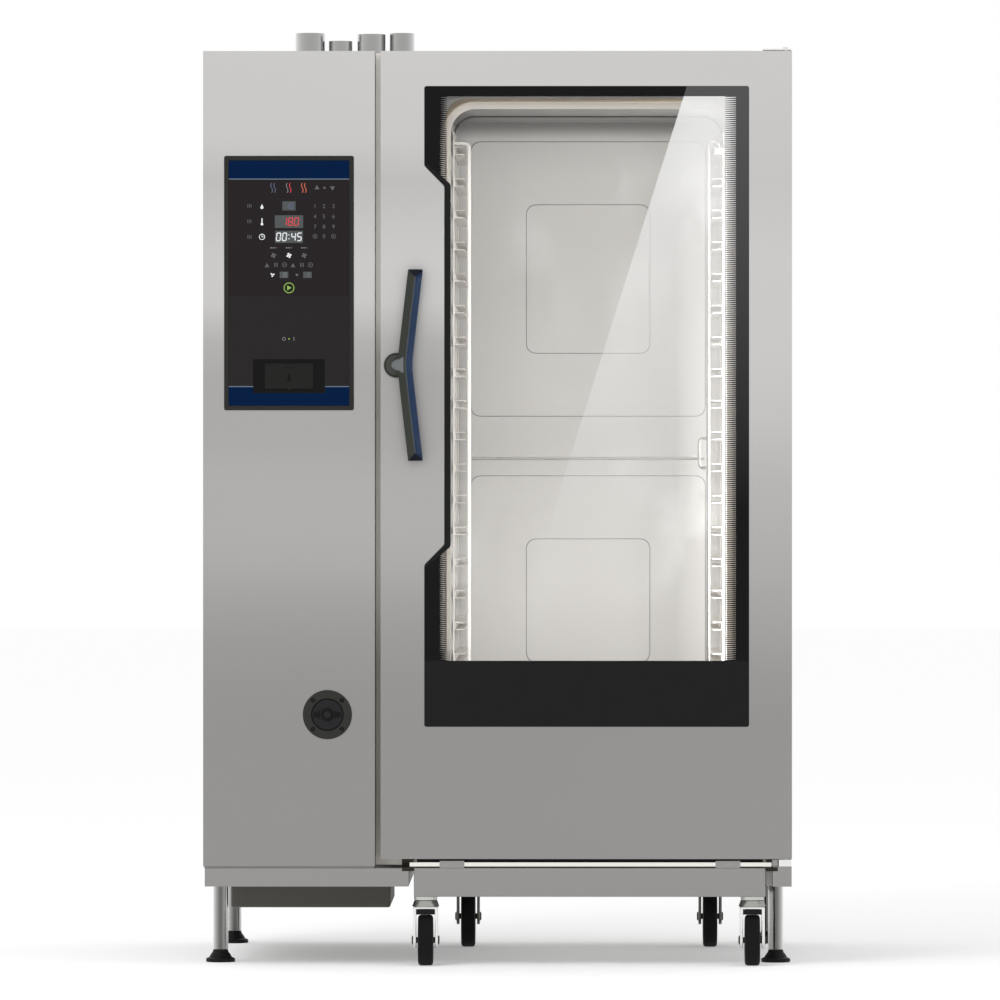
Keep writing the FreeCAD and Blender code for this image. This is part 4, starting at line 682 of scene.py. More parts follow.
# ---- mesh toolkit --------------------------------------------------------------------------------
class Forge:
    """Builds one piece's mesh from millimetres with bmesh operators and hands it over as an object."""

    def __init__(self) -> None:
        """Start with an empty mesh."""
        self.mesh = bmesh.new()
        self.recalculate = True

    def _vert(self, point: Sequence[float]) -> bmesh.types.BMVert:
        """Add one vertex."""
        return self.mesh.verts.new([value * MM for value in point])

    def _bevel(self, edges: Sequence[bmesh.types.BMEdge], width: float, segments: int) -> None:
        """Round some edges.

        Args:
            edges: The edges.
            width: The width of the rounding.
            segments: Its steps.
        """
        if width > 0.0 and edges:
            bmesh.ops.bevel(self.mesh, geom=list(edges), offset=width * MM, offset_type="OFFSET",
                            segments=segments, profile=0.5, affect="EDGES", clamp_overlap=True,
                            material=-1)

    def block(self, low: Sequence[float], high: Sequence[float], bevel: float = 0.0,
              segments: int = 2) -> "Forge":
        """Add a box with rounded edges.

        Args:
            low: Lowest corner.
            high: Highest corner.
            bevel: Width of the rounding.
            segments: Steps of the rounding.

        Returns:
            This forge.
        """
        low_point, high_point = Vector(low) * MM, Vector(high) * MM
        size = high_point - low_point
        place = Matrix.Translation((low_point + high_point) / 2.0) @ Matrix.Diagonal((*size, 1.0))
        made = bmesh.ops.create_cube(self.mesh, size=1.0, matrix=place)["verts"]
        self._bevel({edge for vert in made for edge in vert.link_edges}, bevel, segments)
        return self

    def slab(self, outline: Sequence[Flat], front: float, back: float, bevel: float = 0.0,
             segments: int = 2) -> "Forge":
        """Add an upright plate with an outline in x and z.

        Args:
            outline: Corner points.
            front: Lower y.
            back: Upper y.
            bevel: Width of the edge rounding.
            segments: Steps of the rounding.

        Returns:
            This forge.
        """
        corners = [self._vert((x, front, z)) for x, z in outline]
        face = self.mesh.faces.new(corners)
        grown = bmesh.ops.extrude_face_region(self.mesh, geom=[face])["geom"]
        moved = [item for item in grown if isinstance(item, bmesh.types.BMVert)]
        bmesh.ops.translate(self.mesh, verts=moved, vec=(0.0, (back - front) * MM, 0.0))
        self._bevel({edge for vert in corners + moved for edge in vert.link_edges}, bevel, segments)
        return self

    def lathe(self, profile: Sequence[Flat], centre: Point, axis: str = "Z", steps: int = 48,
              ring: bool = False) -> "Forge":
        """Add a turned form.

        Args:
            profile: Radius and place along the axis, point by point.
            centre: Where the axis passes and its zero lies.
            axis: X, Y or Z.
            steps: Steps round the axis.
            ring: Whether the profile closes on itself.

        Returns:
            This forge.
        """
        if ring:
            profile = [*profile, profile[0]]
        across, along = {"X": ((0, 0, 1), (1, 0, 0)), "Y": ((1, 0, 0), (0, 1, 0)),
                         "Z": ((1, 0, 0), (0, 0, 1))}[axis]
        points = [Vector(centre) + Vector(across) * radius + Vector(along) * place
                  for radius, place in profile]
        verts = [self._vert(point) for point in points]
        edges = [self.mesh.edges.new(pair) for pair in zip(verts, verts[1:])]
        bmesh.ops.spin(self.mesh, geom=verts + edges, cent=Vector(centre) * MM, axis=along, dvec=(0, 0, 0),
                       angle=math.tau, steps=steps, use_merge=True, use_duplicate=False)
        bmesh.ops.remove_doubles(self.mesh, verts=self.mesh.verts, dist=MERGE)
        return self

    def rod(self, points: Sequence[Point], radius: float, bend: float = 0.0, sides: int = 14,
            steps: int = 6) -> "Forge":
        """Add a round rod along straight runs with rounded corners.

        Args:
            points: The ends and corners of its middle line.
            radius: Radius of the rod.
            bend: Radius of the middle line at each corner.
            sides: Sides of the section.
            steps: Steps round a corner.

        Returns:
            This forge.
        """
        path = [Vector(point) * MM for point in points]
        radius, bend = radius * MM, bend * MM
        ahead = (path[1] - path[0]).normalized()
        turn = Vector((0.0, 0.0, 1.0)).rotation_difference(ahead).to_matrix().to_4x4()
        start = bmesh.ops.create_circle(self.mesh, cap_ends=True, radius=radius, segments=sides,
                                        matrix=Matrix.Translation(path[0]) @ turn)["verts"]
        ring = list({edge for vert in start for edge in vert.link_edges})
        here = path[0]
        for index in range(1, len(path)):
            back = (path[index - 1] - path[index]).normalized()
            last = index == len(path) - 1
            onward = None if last else (path[index + 1] - path[index]).normalized()
            reach = 0.0 if last else bend / math.tan(back.angle(onward) / 2.0)
            stop = path[index] + back * reach
            grown = bmesh.ops.extrude_edge_only(self.mesh, edges=ring)["geom"]
            verts = [item for item in grown if isinstance(item, bmesh.types.BMVert)]
            ring = [item for item in grown if isinstance(item, bmesh.types.BMEdge)]
            bmesh.ops.translate(self.mesh, verts=verts, vec=stop - here)
            here = stop
            if not last:
                middle = (back + onward).normalized()
                centre = path[index] + middle * (bend / math.sin(back.angle(onward) / 2.0))
                spun = bmesh.ops.spin(self.mesh, geom=ring, cent=centre, axis=(-back).cross(onward),
                                      dvec=(0, 0, 0), angle=math.pi - back.angle(onward), steps=steps,
                                      use_merge=False, use_duplicate=False)["geom_last"]
                ring = [item for item in spun if isinstance(item, bmesh.types.BMEdge)]
                here = path[index] + onward * reach
        bmesh.ops.edgeloop_fill(self.mesh, edges=ring)
        return self

    def hull(self, points: Sequence[Point], bevel: float = 0.0, segments: int = 3) -> "Forge":
        """Add the tight skin round some points, with rounded edges.

        Args:
            points: The points.
            bevel: Width of the rounding.
            segments: Steps of the rounding.

        Returns:
            This forge.
        """
        verts = [self._vert(point) for point in points]
        made = bmesh.ops.convex_hull(self.mesh, input=verts)["geom"]
        faces = [item for item in made if isinstance(item, bmesh.types.BMFace)]
        edges = list({edge for face in faces for edge in face.edges})
        corners = list({vert for face in faces for vert in face.verts})
        bmesh.ops.dissolve_limit(self.mesh, angle_limit=math.radians(2.0), verts=corners, edges=edges,
                                 use_dissolve_boundaries=False, delimit=set())
        alive = {edge for vert in corners if vert.is_valid for edge in vert.link_edges}
        self._bevel([edge for edge in alive if edge.calc_face_angle(0.0) > 0.3], bevel, segments)
        return self

    def loft(self, sections: Sequence[Sequence[Point]]) -> "Forge":
        """Add a skin over cross-sections, closed at both ends.

        Args:
            sections: The cross-sections, each with as many points as the next.

        Returns:
            This forge.
        """
        loops = []
        for section in sections:
            verts = [self._vert(point) for point in section]
            pairs = zip(verts, verts[1:] + verts[:1])
            loops.append([self.mesh.edges.new(pair) for pair in pairs])
        for near, far in zip(loops, loops[1:]):
            bmesh.ops.bridge_loops(self.mesh, edges=near + far)
        for end in (loops[0], loops[-1]):
            bmesh.ops.edgeloop_fill(self.mesh, edges=end)
        return self

    def round_sharp(self, width: float, segments: int, sharp: float) -> None:
        """Round every edge over an angle.

        Args:
            width: Width of the rounding.
            segments: Its steps.
            sharp: Least angle in degrees.
        """
        limit = math.radians(sharp)
        bmesh.ops.recalc_face_normals(self.mesh, faces=self.mesh.faces)
        self._bevel([edge for edge in self.mesh.edges if edge.calc_face_angle(0.0) > limit], width,
                    segments)

    def text(self, words: str, middle: Flat, front: float, size: float, depth: float = 0.15) -> "Forge":
        """Add raised figures that face the front.

        Args:
            words: The figures.
            middle: Their centre in x and z.
            front: The y of the surface they stand on.
            size: Their height.
            depth: How far they stand out.

        Returns:
            This forge.
        """
        curve = bpy.data.curves.new("figures", "FONT")
        curve.body = words
        curve.size = size * FIGURE_SCALE * MM
        curve.extrude = depth * MM
        curve.align_x = "CENTER"
        curve.align_y = "CENTER"
        holder = bpy.data.objects.new("figures", curve)
        bpy.context.scene.collection.objects.link(holder)
        bpy.context.view_layer.update()
        flat = bpy.data.meshes.new_from_object(holder.evaluated_get(bpy.context.evaluated_depsgraph_get()))
        place = Matrix.Translation(Vector((middle[0], front, middle[1])) * MM)
        flat.transform(place @ Matrix.Rotation(math.pi / 2, 4, "X"))
        self.mesh.from_mesh(flat)
        bpy.data.objects.remove(holder)
        bpy.data.meshes.remove(flat)
        bpy.data.curves.remove(curve)
        return self

    def copy_node(self, node: str, bevel: float, segments: int = 2, sharp: float = 38.0) -> "Forge":
        """Take a copy of a frame node, merge its triangles and round its edges.

        Args:
            node: The node's name.
            bevel: Width of the rounding.
            segments: Steps of the rounding.
            sharp: Least angle in degrees that is rounded.

        Returns:
            This forge.
        """
        self.recalculate = False
        self.mesh.from_mesh(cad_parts[node].data)
        bmesh.ops.remove_doubles(self.mesh, verts=self.mesh.verts, dist=2.0 * MERGE)
        bmesh.ops.dissolve_limit(self.mesh, angle_limit=math.radians(0.6), verts=self.mesh.verts,
                                 edges=self.mesh.edges, use_dissolve_boundaries=False, delimit=set())
        limit = math.radians(sharp)
        edges = [e for e in self.mesh.edges if e.is_manifold and e.calc_face_angle(0.0) > limit]
        self._bevel(edges, bevel, segments)
        return self

    def piece(self, name: str, body: str, finish: str, slot: str, replaces: Sequence[str] = (),
              smooth: float = SMOOTH) -> None:
        """Hand the mesh over as a finished piece.

        Args:
            name: The piece's name.
            body: The body that it moves with.
            finish: Its finish.
            slot: The record's material slot; not used.
            replaces: Frame nodes that it stands for.
            smooth: Largest angle in degrees that is shaded round.
        """
        if self.recalculate:
            bmesh.ops.recalc_face_normals(self.mesh, faces=self.mesh.faces)
        data = bpy.data.meshes.new(name)
        self.mesh.to_mesh(data)
        self.mesh.free()
        data.shade_smooth()
        data.set_sharp_from_angle(angle=math.radians(smooth))
        data.materials.append(PALETTE[finish])
        made = bpy.data.objects.new(name, data)
        bpy.context.scene.collection.objects.link(made)
        weighted = made.modifiers.new("even_shading", "WEIGHTED_NORMAL")
        weighted.keep_sharp = True
        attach(made, body)
        if replaces:
            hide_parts(*replaces)
        LOG.info("%s: %d faces, moves with %s", name, len(data.polygons), body)


def box(node: str) -> tuple[Vector, Vector]:
    """Lowest and highest corner of a frame node, in millimetres."""
    low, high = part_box(node)
    return (Vector(low) / MM, Vector(high) / MM)


def centre_of(node: str) -> Vector:
    """Middle of a frame node's box, in millimetres."""
    low, high = box(node)
    return (low + high) / 2.0


def ring_points(count: int, radius: float, centre: Flat = (0.0, 0.0), start: float = 0.0) -> list[Flat]:
    """Points evenly round a circle."""
    turns = [math.radians(start) + math.tau * index / count for index in range(count)]
    return [(centre[0] + radius * math.cos(t), centre[1] + radius * math.sin(t)) for t in turns]


def refine(forge: Forge, node: str, body: str, finish: str, slot: str, smooth: float = SMOOTH) -> None:
    """Finish a forge that stands for one frame node."""
    forge.piece(node + "_skin", body, finish, slot, [node], smooth)


def skin(node: str, body: str, finish: str, slot: str, bevel: float = 0.0, segments: int = 2,
         smooth: float = SMOOTH) -> None:
    """Dress a frame node with a copy that has rounded edges."""
    refine(Forge().copy_node(node, bevel, segments), node, body, finish, slot, smooth)


# ---- cabinet -----------------------------------------------------------------------------------
@dataclass
class Cabinet:
    """Sheet-metal body, base frame and the rear's screws."""

    fold: float = 1.2
    weld: float = 0.8
    sleeve_radius: float = 15.2
    screw_radius: float = 4.2
    screw_height: float = 1.6

    def build(self) -> None:
        """Make every piece of the body."""
        looks = {
            "column_front_panel": ("front", self.fold, "panel_steel"),
            "left_side_panel": ("side", 0.0, "panel_steel"),
            "right_side_panel": ("side", 0.0, "panel_steel"),
            "rear_panel": ("rear", 0.0, "panel_steel"),
            "top_panel": ("top", 0.0, "panel_steel"),
            "cavity_facade": ("facade", 0.5, "panel_steel"),
            "floor_panels": ("base", 0.0, "panel_steel"),
            "base_frame": ("base", self.weld, "frame_steel"),
        }
        for node, (finish, bevel, slot) in looks.items():
            skin(node, "cabinet", finish, slot, bevel)
        self.legs()
        self.rear_screws()

    def legs(self) -> None:
        """Polished sleeves over the four legs."""
        sleeves = Forge()
        low = box("base_frame")[0]
        for corner in ("front_left", "front_right", "rear_left", "rear_right"):
            place = centre_of(corner + "_foot")
            outer, inner = self.sleeve_radius, self.sleeve_radius - 0.6
            top = low.z + 130.7
            profile = [(inner, low.z), (outer - 0.3, low.z), (outer, low.z + 0.4),
                       (outer, top), (inner, top)]
            sleeves.lathe(profile, (place.x, place.y, 0.0), ring=True)
        # The tube finish paints a dark middle and white grazing edges: a painted reflection.
        sleeves.piece("leg_sleeves", "cabinet", "tube", "frame_steel")

    def rear_screws(self) -> None:
        """Pan-head screws round the edge of the rear panel."""
        low, high = box("rear_panel")
        inset = 18.0
        places = []
        for step in range(7):
            z = low.z + inset + (high.z - low.z - 2.0 * inset) * step / 6.0
            places += [(low.x + inset, z), (high.x - inset, z)]
        for step in range(1, 5):
            x = low.x + inset + (high.x - low.x - 2.0 * inset) * step / 5.0
            places += [(x, low.z + inset), (x, high.z - inset)]
        screws = Forge()
        radius, height = self.screw_radius, self.screw_height
        profile = [(0.0, height * 0.45), (radius * 0.3, height * 0.45), (radius * 0.36, height),
                   (radius * 0.7, height * 0.8), (radius, height * 0.25), (radius, 0.0), (0.0, 0.0)]
        for x, z in places:
            screws.lathe(profile, (x, high.y, z), "Y", 14)
        screws.piece("rear_screws", "cabinet", "zinc", "fastener_steel")


# ---- control panel -----------------------------------------------------------------------------
@dataclass
class ControlPanel:
    """Housing, printed glass, lit marks, keypad and the service flap."""

    stroke: float = 1.5
    depth: float = 0.15

    def __post_init__(self) -> None:
        """Find the panel's corner and the glass's front."""
        low, high = box("control_bezel")
        self.left = low.x
        self.top = high.z
        self.front = box("control_glass")[0].y
        self.columns = (97.5, 128.1, 158.0)

    def at(self, across: float, down: float) -> Flat:
        """Place on the panel, from its left edge and its top edge."""
        return (self.left + across, self.top - down)

    def strip(self, forge: Forge, middle: Flat, width: float, height: float) -> None:
        """Add a flat bar.

        Args:
            forge: The mesh that takes it.
            middle: Its centre.
            width: Its width.
            height: Its height.
        """
        x, z = middle
        forge.block((x - width / 2, self.front - self.depth, z - height / 2),
                    (x + width / 2, self.front, z + height / 2))

    def disc(self, forge: Forge, middle: Flat, radius: float, bore: float = 0.0) -> None:
        """Add a flat disc or ring.

        Args:
            forge: The mesh that takes it.
            middle: Its centre.
            radius: Outer radius.
            bore: Inner radius.
        """
        profile = [(bore, -self.depth), (radius, -self.depth), (radius, 0.0), (bore, 0.0)]
        forge.lathe(profile, (middle[0], self.front, middle[1]), "Y", 28, bore > 0.0)

    def wave(self, forge: Forge, middle: Flat, height: float) -> None:
        """Add one rising wavy line.

        Args:
            forge: The mesh that takes it.
            middle: Its centre.
            height: Its height.
        """
        points = []
        for step in range(13):
            share = step / 12.0
            sway = 1.6 * math.sin(share * math.tau)
            points.append((middle[0] + sway, middle[1] + (share - 0.5) * height))
        half = self.stroke / 2.0
        outline = [(x - half, z) for x, z in points] + [(x + half, z) for x, z in reversed(points)]
        forge.slab(outline, self.front - self.depth, self.front)

    def wedge(self, forge: Forge, middle: Flat, size: float, turn: float) -> None:
        """Add a triangle."""
        forge.slab(ring_points(3, size, middle, turn), self.front - self.depth, self.front)

    def rotor(self, forge: Forge, middle: Flat, size: float, blades: int) -> None:
        """Add a small fan mark.

        Args:
            forge: The mesh that takes it.
            middle: Its centre.
            size: Its radius.
            blades: How many blades.
        """
        for x, z in ring_points(blades, size * 0.58, middle, 20.0):
            self.disc(forge, (x, z), size * 0.36)
        self.disc(forge, middle, size * 0.22)

    def drop(self, forge: Forge, middle: Flat, size: float) -> None:
        """Add a drop.

        Args:
            forge: The mesh that takes it.
            middle: Its centre.
            size: Radius of its round end.
        """
        rim = ring_points(18, size, middle)
        tip = (middle[0], middle[1] + size * 2.4)
        flat = rim + [tip]
        forge.hull([(x, y, z) for y in (self.front - self.depth, self.front) for x, z in flat])

    def marks(self) -> None:
        """Make the lit and printed marks, one piece per colour."""
        names = ("white_mark", "dim_mark", "grey_mark", "red_mark", "orange_mark", "green_mark",
                 "blue_mark", "screen_mark")
        inks = {name: Forge() for name in names}
        left, middle, right = self.columns
        for column, inner, outer in ((left, "blue_mark", "blue_mark"), (middle, "grey_mark", "red_mark"),
                                     (right, "orange_mark", "orange_mark")):
            x, z = self.at(column, 63.2)
            for place, ink in ((x - 3.6, inner), (x + 2.4, outer)):
                self.wave(inks[ink], (place, z), 19.0)
        self.wedge(inks["dim_mark"], self.at(183.3, 63.2), 5.5, 90.0)
        self.disc(inks["dim_mark"], self.at(198.1, 63.2), 2.2)
        self.wedge(inks["dim_mark"], self.at(213.9, 63.2), 5.5, 270.0)
        for down in (98.7, 129.2, 159.8):
            x, z = self.at(50.1, down)
            for step in (-1.0, 0.0, 1.0):
                self.strip(inks["dim_mark"], (x + step * 3.2, z), 1.2, 7.0)
        self.flap_mark()
        self.readouts(inks)
        self.keypad(inks["dim_mark"])
        self.lower_rows(inks)
        for name, forge in inks.items():
            forge.piece("panel_" + name + "s", "cabinet", name, "panel_glass")

    def readouts(self, inks: dict[str, Forge]) -> None:
        """Add the temperature, time and moisture readouts.

        Args:
            inks: The mesh of each colour.
        """
        white = inks["white_mark"]
        self.drop(white, self.at(74.8, 102.0), 2.9)
        x, z = self.at(74.8, 130.2)
        self.disc(white, (x, z - 4.5), 2.6)
        self.strip(white, (x, z + 1.5), 2.2, 11.0)
        x, z = self.at(74.8, 159.8)
        self.disc(white, (x, z), 6.0, 4.7)
        self.strip(white, (x, z + 1.8), 1.2, 4.6)
        self.strip(white, (x + 1.4, z), 3.6, 1.2)
        for down, width, height in ((98.7, 26.0, 18.0), (129.8, 56.0, 25.0), (159.8, 55.0, 24.0)):
            self.strip(inks["screen_mark"], self.at(128.1, down), width, height)
        self.figures(inks["blue_mark"], "16", self.at(129.0, 98.7), 11.0)
        self.figures(inks["red_mark"], "180", self.at(131.0, 129.8), 15.0)
        self.figures(white, "00:45", self.at(128.1, 159.8), 15.0)

    def figures(self, forge: Forge, words: str, middle: Flat, height: float) -> None:
        """Add seven-bar figures that stand further out than the other marks.

        Args:
            forge: The mesh that takes them.
            words: Figures and colons.
            middle: Their centre.
            height: Their height.
        """
        raised, self.depth = self.depth, 3.0 * self.depth
        width, bar = height * 0.5, height * 0.13
        steps = [0.5 if sign == ":" else 1.0 for sign in words]
        pitch = width + 2.2 * bar
        x = middle[0] - pitch * sum(steps) / 2.0
        half, quarter = height / 2.0, height / 4.0
        upright, level = (bar, half - bar * 0.4), (width - bar * 0.4, bar)
        bars = {"a": (0.0, half, level), "g": (0.0, 0.0, level), "d": (0.0, -half, level),
                "f": (-width / 2, quarter, upright), "b": (width / 2, quarter, upright),
                "e": (-width / 2, -quarter, upright), "c": (width / 2, -quarter, upright)}
        lit = {"0": "abcdef", "1": "bc", "4": "fgbc", "5": "afgcd", "6": "afgedc", "8": "abcdefg"}
        for sign, step in zip(words, steps):
            centre = x + pitch * step / 2.0
            if sign == ":":
                for lift in (-quarter, quarter):
                    self.strip(forge, (centre, middle[1] + lift), bar, bar)
            for key in lit.get(sign, ""):
                across, lift, (wide, tall) = bars[key]
                lean = (lift / height) * width * 0.25
                self.strip(forge, (centre + across + lean, middle[1] + lift), wide, tall)
            x += pitch * step
        self.depth = raised

    def flap_mark(self) -> None:
        """Make the flap's faint memory-stick mark and the black frame round the flap."""
        low, high = box("usb_flap")
        x, _, z = centre_of("usb_flap")
        mark = Forge()
        mark.block((x - 1.6, low.y - 0.1, z - 4.0), (x + 1.6, low.y, z + 4.0))
        mark.block((x - 3.0, low.y - 0.1, z - 9.0), (x + 3.0, low.y, z - 5.0))
        mark.piece("flap_mark", "service_flap", "port", "grey_plastic")
        front = box("control_bezel")[0].y
        left, right, bottom, top = -482.0, -340.8, 1130.4, 1196.6
        gap = 0.8
        frame_strips = Forge()
        for start, stop, base, roof in ((left, low.x - gap, bottom, top),
                                        (high.x + gap, right, bottom, top),
                                        (low.x - gap, high.x + gap, high.z + gap, top),
                                        (low.x - gap, high.x + gap, bottom, low.z - gap)):
            frame_strips.block((start, front - 0.3, base), (stop, front + 0.1, roof))
        frame_strips.piece("port_frame", "cabinet", "port", "black_plastic")

    def keypad(self, dim: Forge) -> None:
        """Add the figures and the two keys beside the nought.

        Args:
            dim: The mesh that takes them.
        """
        across = (179.4, 197.1, 215.8)
        down = (99.7, 120.0, 140.1)
        for key in range(9):
            place = self.at(across[key % 3], down[key // 3])
            dim.text(str(key + 1), place, self.front, 8.0)
        dim.text("0", self.at(across[1], 158.8), self.front, 8.0)
        for place in (across[0], across[2]):
            self.disc(dim, self.at(place, 158.8), 4.6, 3.7)
            self.wedge(dim, self.at(place, 158.8), 2.4, 0.0)

    def lower_rows(self, inks: dict[str, Forge]) -> None:
        """Add the rows of option marks, the start key and the switch marks.

        Args:
            inks: The mesh of each colour.
        """
        white, dim, grey, green = (inks[name] for name in ("white_mark", "dim_mark", "grey_mark",
                                                           "green_mark"))
        for column in self.columns:
            for step in (-1.0, 0.0, 1.0):
                x, z = self.at(column, 181.5)
                self.strip(grey if step < 0.5 else dim, (x + step * 4.6, z), 3.4, 1.9)
        for column, ink in zip(self.columns, (dim, white, dim)):
            self.rotor(ink, self.at(column, 196.5), 5.6, 4)
        for index, place in enumerate((84.7, 102.4, 119.2, 136.0, 153.7, 170.5)):
            x, z = self.at(place, 215.1)
            if index % 3 == 0:
                self.wedge(dim, (x, z - 1.0), 4.4, 90.0)
                self.strip(dim, (x, z - 4.2), 9.0, 1.0)
            elif index % 3 == 1:
                for step in (-1.0, 1.0):
                    self.strip(dim, (x + step * 2.2, z), 1.8, 8.0)
            else:
                self.disc(dim, (x, z), 4.8, 3.7)
                self.strip(dim, (x, z), 4.6, 1.1)
        self.rotor(white, self.at(95.5, 234.8), 4.6, 3)
        self.disc(dim, self.at(143.8, 234.8), 2.6)
        for across, words in ((118.2, "15"), (164.6, "1")):
            self.strip(inks["screen_mark"], self.at(across, 234.8), 17.0, 12.5)
            self.figures(grey, words, self.at(across, 234.8), 8.0)
        self.disc(green, self.at(128.1, 260.4), 10.6, 8.9)
        self.wedge(green, self.at(127.4, 260.4), 5.6, 0.0)
        self.disc(grey, self.at(118.2, 361.1), 3.6, 2.5)
        self.disc(green, self.at(128.1, 361.1), 1.5)
        self.strip(grey, self.at(137.9, 361.1), 1.3, 7.4)
        self.disc(inks["orange_mark"], self.at(128.1, 459.0), 1.3)

    def build(self) -> None:
        """Make the panel."""
        skin("control_bezel", "cabinet", "bezel", "black_plastic", 0.6)
        skin("control_glass", "cabinet", "panel", "panel_glass")
        self.marks()
        skin("usb_flap", "service_flap", "flap", "grey_plastic", 0.5)
        skin("control_board", "cabinet", "board", "circuit_board")
        self.service_socket()

    def service_socket(self) -> None:
        """Memory-stick socket at the back of the recess, with its tongue."""
        middle = centre_of("usb_flap")
        back = self.front + 13.4
        shell = Forge()
        for side in (-1.0, 1.0):
            shell.block((middle.x - 6.6, back - 3.0, middle.z + side * 2.6 - 0.3),
                        (middle.x + 6.6, back, middle.z + side * 2.6 + 0.3), 0.1)
            shell.block((middle.x + side * 6.6 - 0.3, back - 3.0, middle.z - 2.9),
                        (middle.x + side * 6.6 + 0.3, back, middle.z + 2.9), 0.1)
        shell.piece("socket_shell", "cabinet", "zinc", "fastener_steel")
        tongue = Forge().block((middle.x - 5.4, back - 2.4, middle.z - 0.2),
                               (middle.x + 5.4, back, middle.z + 1.4), 0.1)
        tongue.piece("socket_tongue", "cabinet", "white_part", "grey_plastic")


# ---- hand shower -------------------------------------------------------------------------------
@dataclass
class HandShower:
    """Collar with four screws, and the pull-out head with its hub and grip marks."""

    head_radius: float = 31.5
    hub_radius: float = 10.7
    tail_radius: float = 14.0

    def build(self) -> None:
        """Make the shower."""
        low, high = box("spray_collar")
        x, _, z = centre_of("spray_collar")
        outer, bore = (high.x - low.x) / 2.0, self.head_radius + 0.3
        depth, skin, sleeve = high.y - low.y, 4.0, self.head_radius + 3.5
        collar = Forge().lathe(
            [(bore, 0.8), (bore + 0.8, 0.0), (outer - 2.0, 0.0),
             (outer - 0.6, 0.6), (outer, 2.0), (outer, skin), (sleeve, skin),
             (sleeve, depth), (bore, depth)], (x, low.y, z), "Y", 96, True)
        refine(collar, "spray_collar", "cabinet", "collar", "collar_plastic", smooth=28.0)
        self.screws(Vector((x, low.y, z)))
        gun_low, gun_high = box("spray_gun")
        face = 5.0
        length = gun_high.y - gun_low.y
        head, hub, tail = self.head_radius, self.hub_radius, self.tail_radius
        gun = Forge().lathe(
            [(0.0, 0.4), (hub - 2.4, 0.0), (hub - 0.8, 0.5), (hub, 1.6),
             (hub, face + 1.2), (hub + 1.3, face + 1.2), (hub + 1.8, face),
             (head - 1.6, face), (head - 0.2, face + 1.2), (head, face + 2.4),
             (head, face + 33.5), (tail, face + 33.5), (tail, length), (0.0, length)],
            (x, gun_low.y, z), "Y", 96)
        refine(gun, "spray_gun", "hand_shower", "spray", "collar_plastic", smooth=28.0)
        ribs = Forge()
        for side in (-1.0, 1.0):
            for step in range(4):
                middle = x + side * (15.5 + 3.4 * step)
                half = (7.5 - 0.9 * step)
                ribs.block((middle - 0.9, gun_low.y + face - 0.9, z - half),
                           (middle + 0.9, gun_low.y + face + 0.2, z + half), 0.35)
        ribs.piece("grip_marks", "hand_shower", "port", "collar_plastic")
        # Black rings at the hub's edge and the head's rim: painted shade in the grooves.
        rings = Forge()
        for inner, outer, place in ((7.4, 10.2, 0.0), (29.4, 31.4, face)):
            rings.lathe([(inner, place - 0.3), (outer, place - 0.3),
                         (outer, place + 2.6), (inner, place + 2.6)],
                        (x, gun_low.y, z), "Y", 72, True)
        rings.piece("groove_shade_rings", "hand_shower", "port", "collar_plastic")

    def screws(self, centre: Vector) -> None:
        """Make the collar's four countersunk screws.

        Args:
            centre: Middle of the collar's front.
        """
        made = Forge()
        radius = 4.5
        profile = [(0.0, 0.5), (1.5, 0.5), (1.9, -0.7), (3.4, -0.8),
                   (radius, -0.2), (radius, 0.0), (2.0, 0.2), (2.0, 3.8),
                   (0.0, 3.8)]
        for x, z in ring_points(4, 40.4, (centre.x, centre.z), 45.0):
            made.lathe(profile, (x, centre.y, z), "Y", 20)
        refine(made, "spray_collar_screws", "cabinet", "port", "fastener_steel")


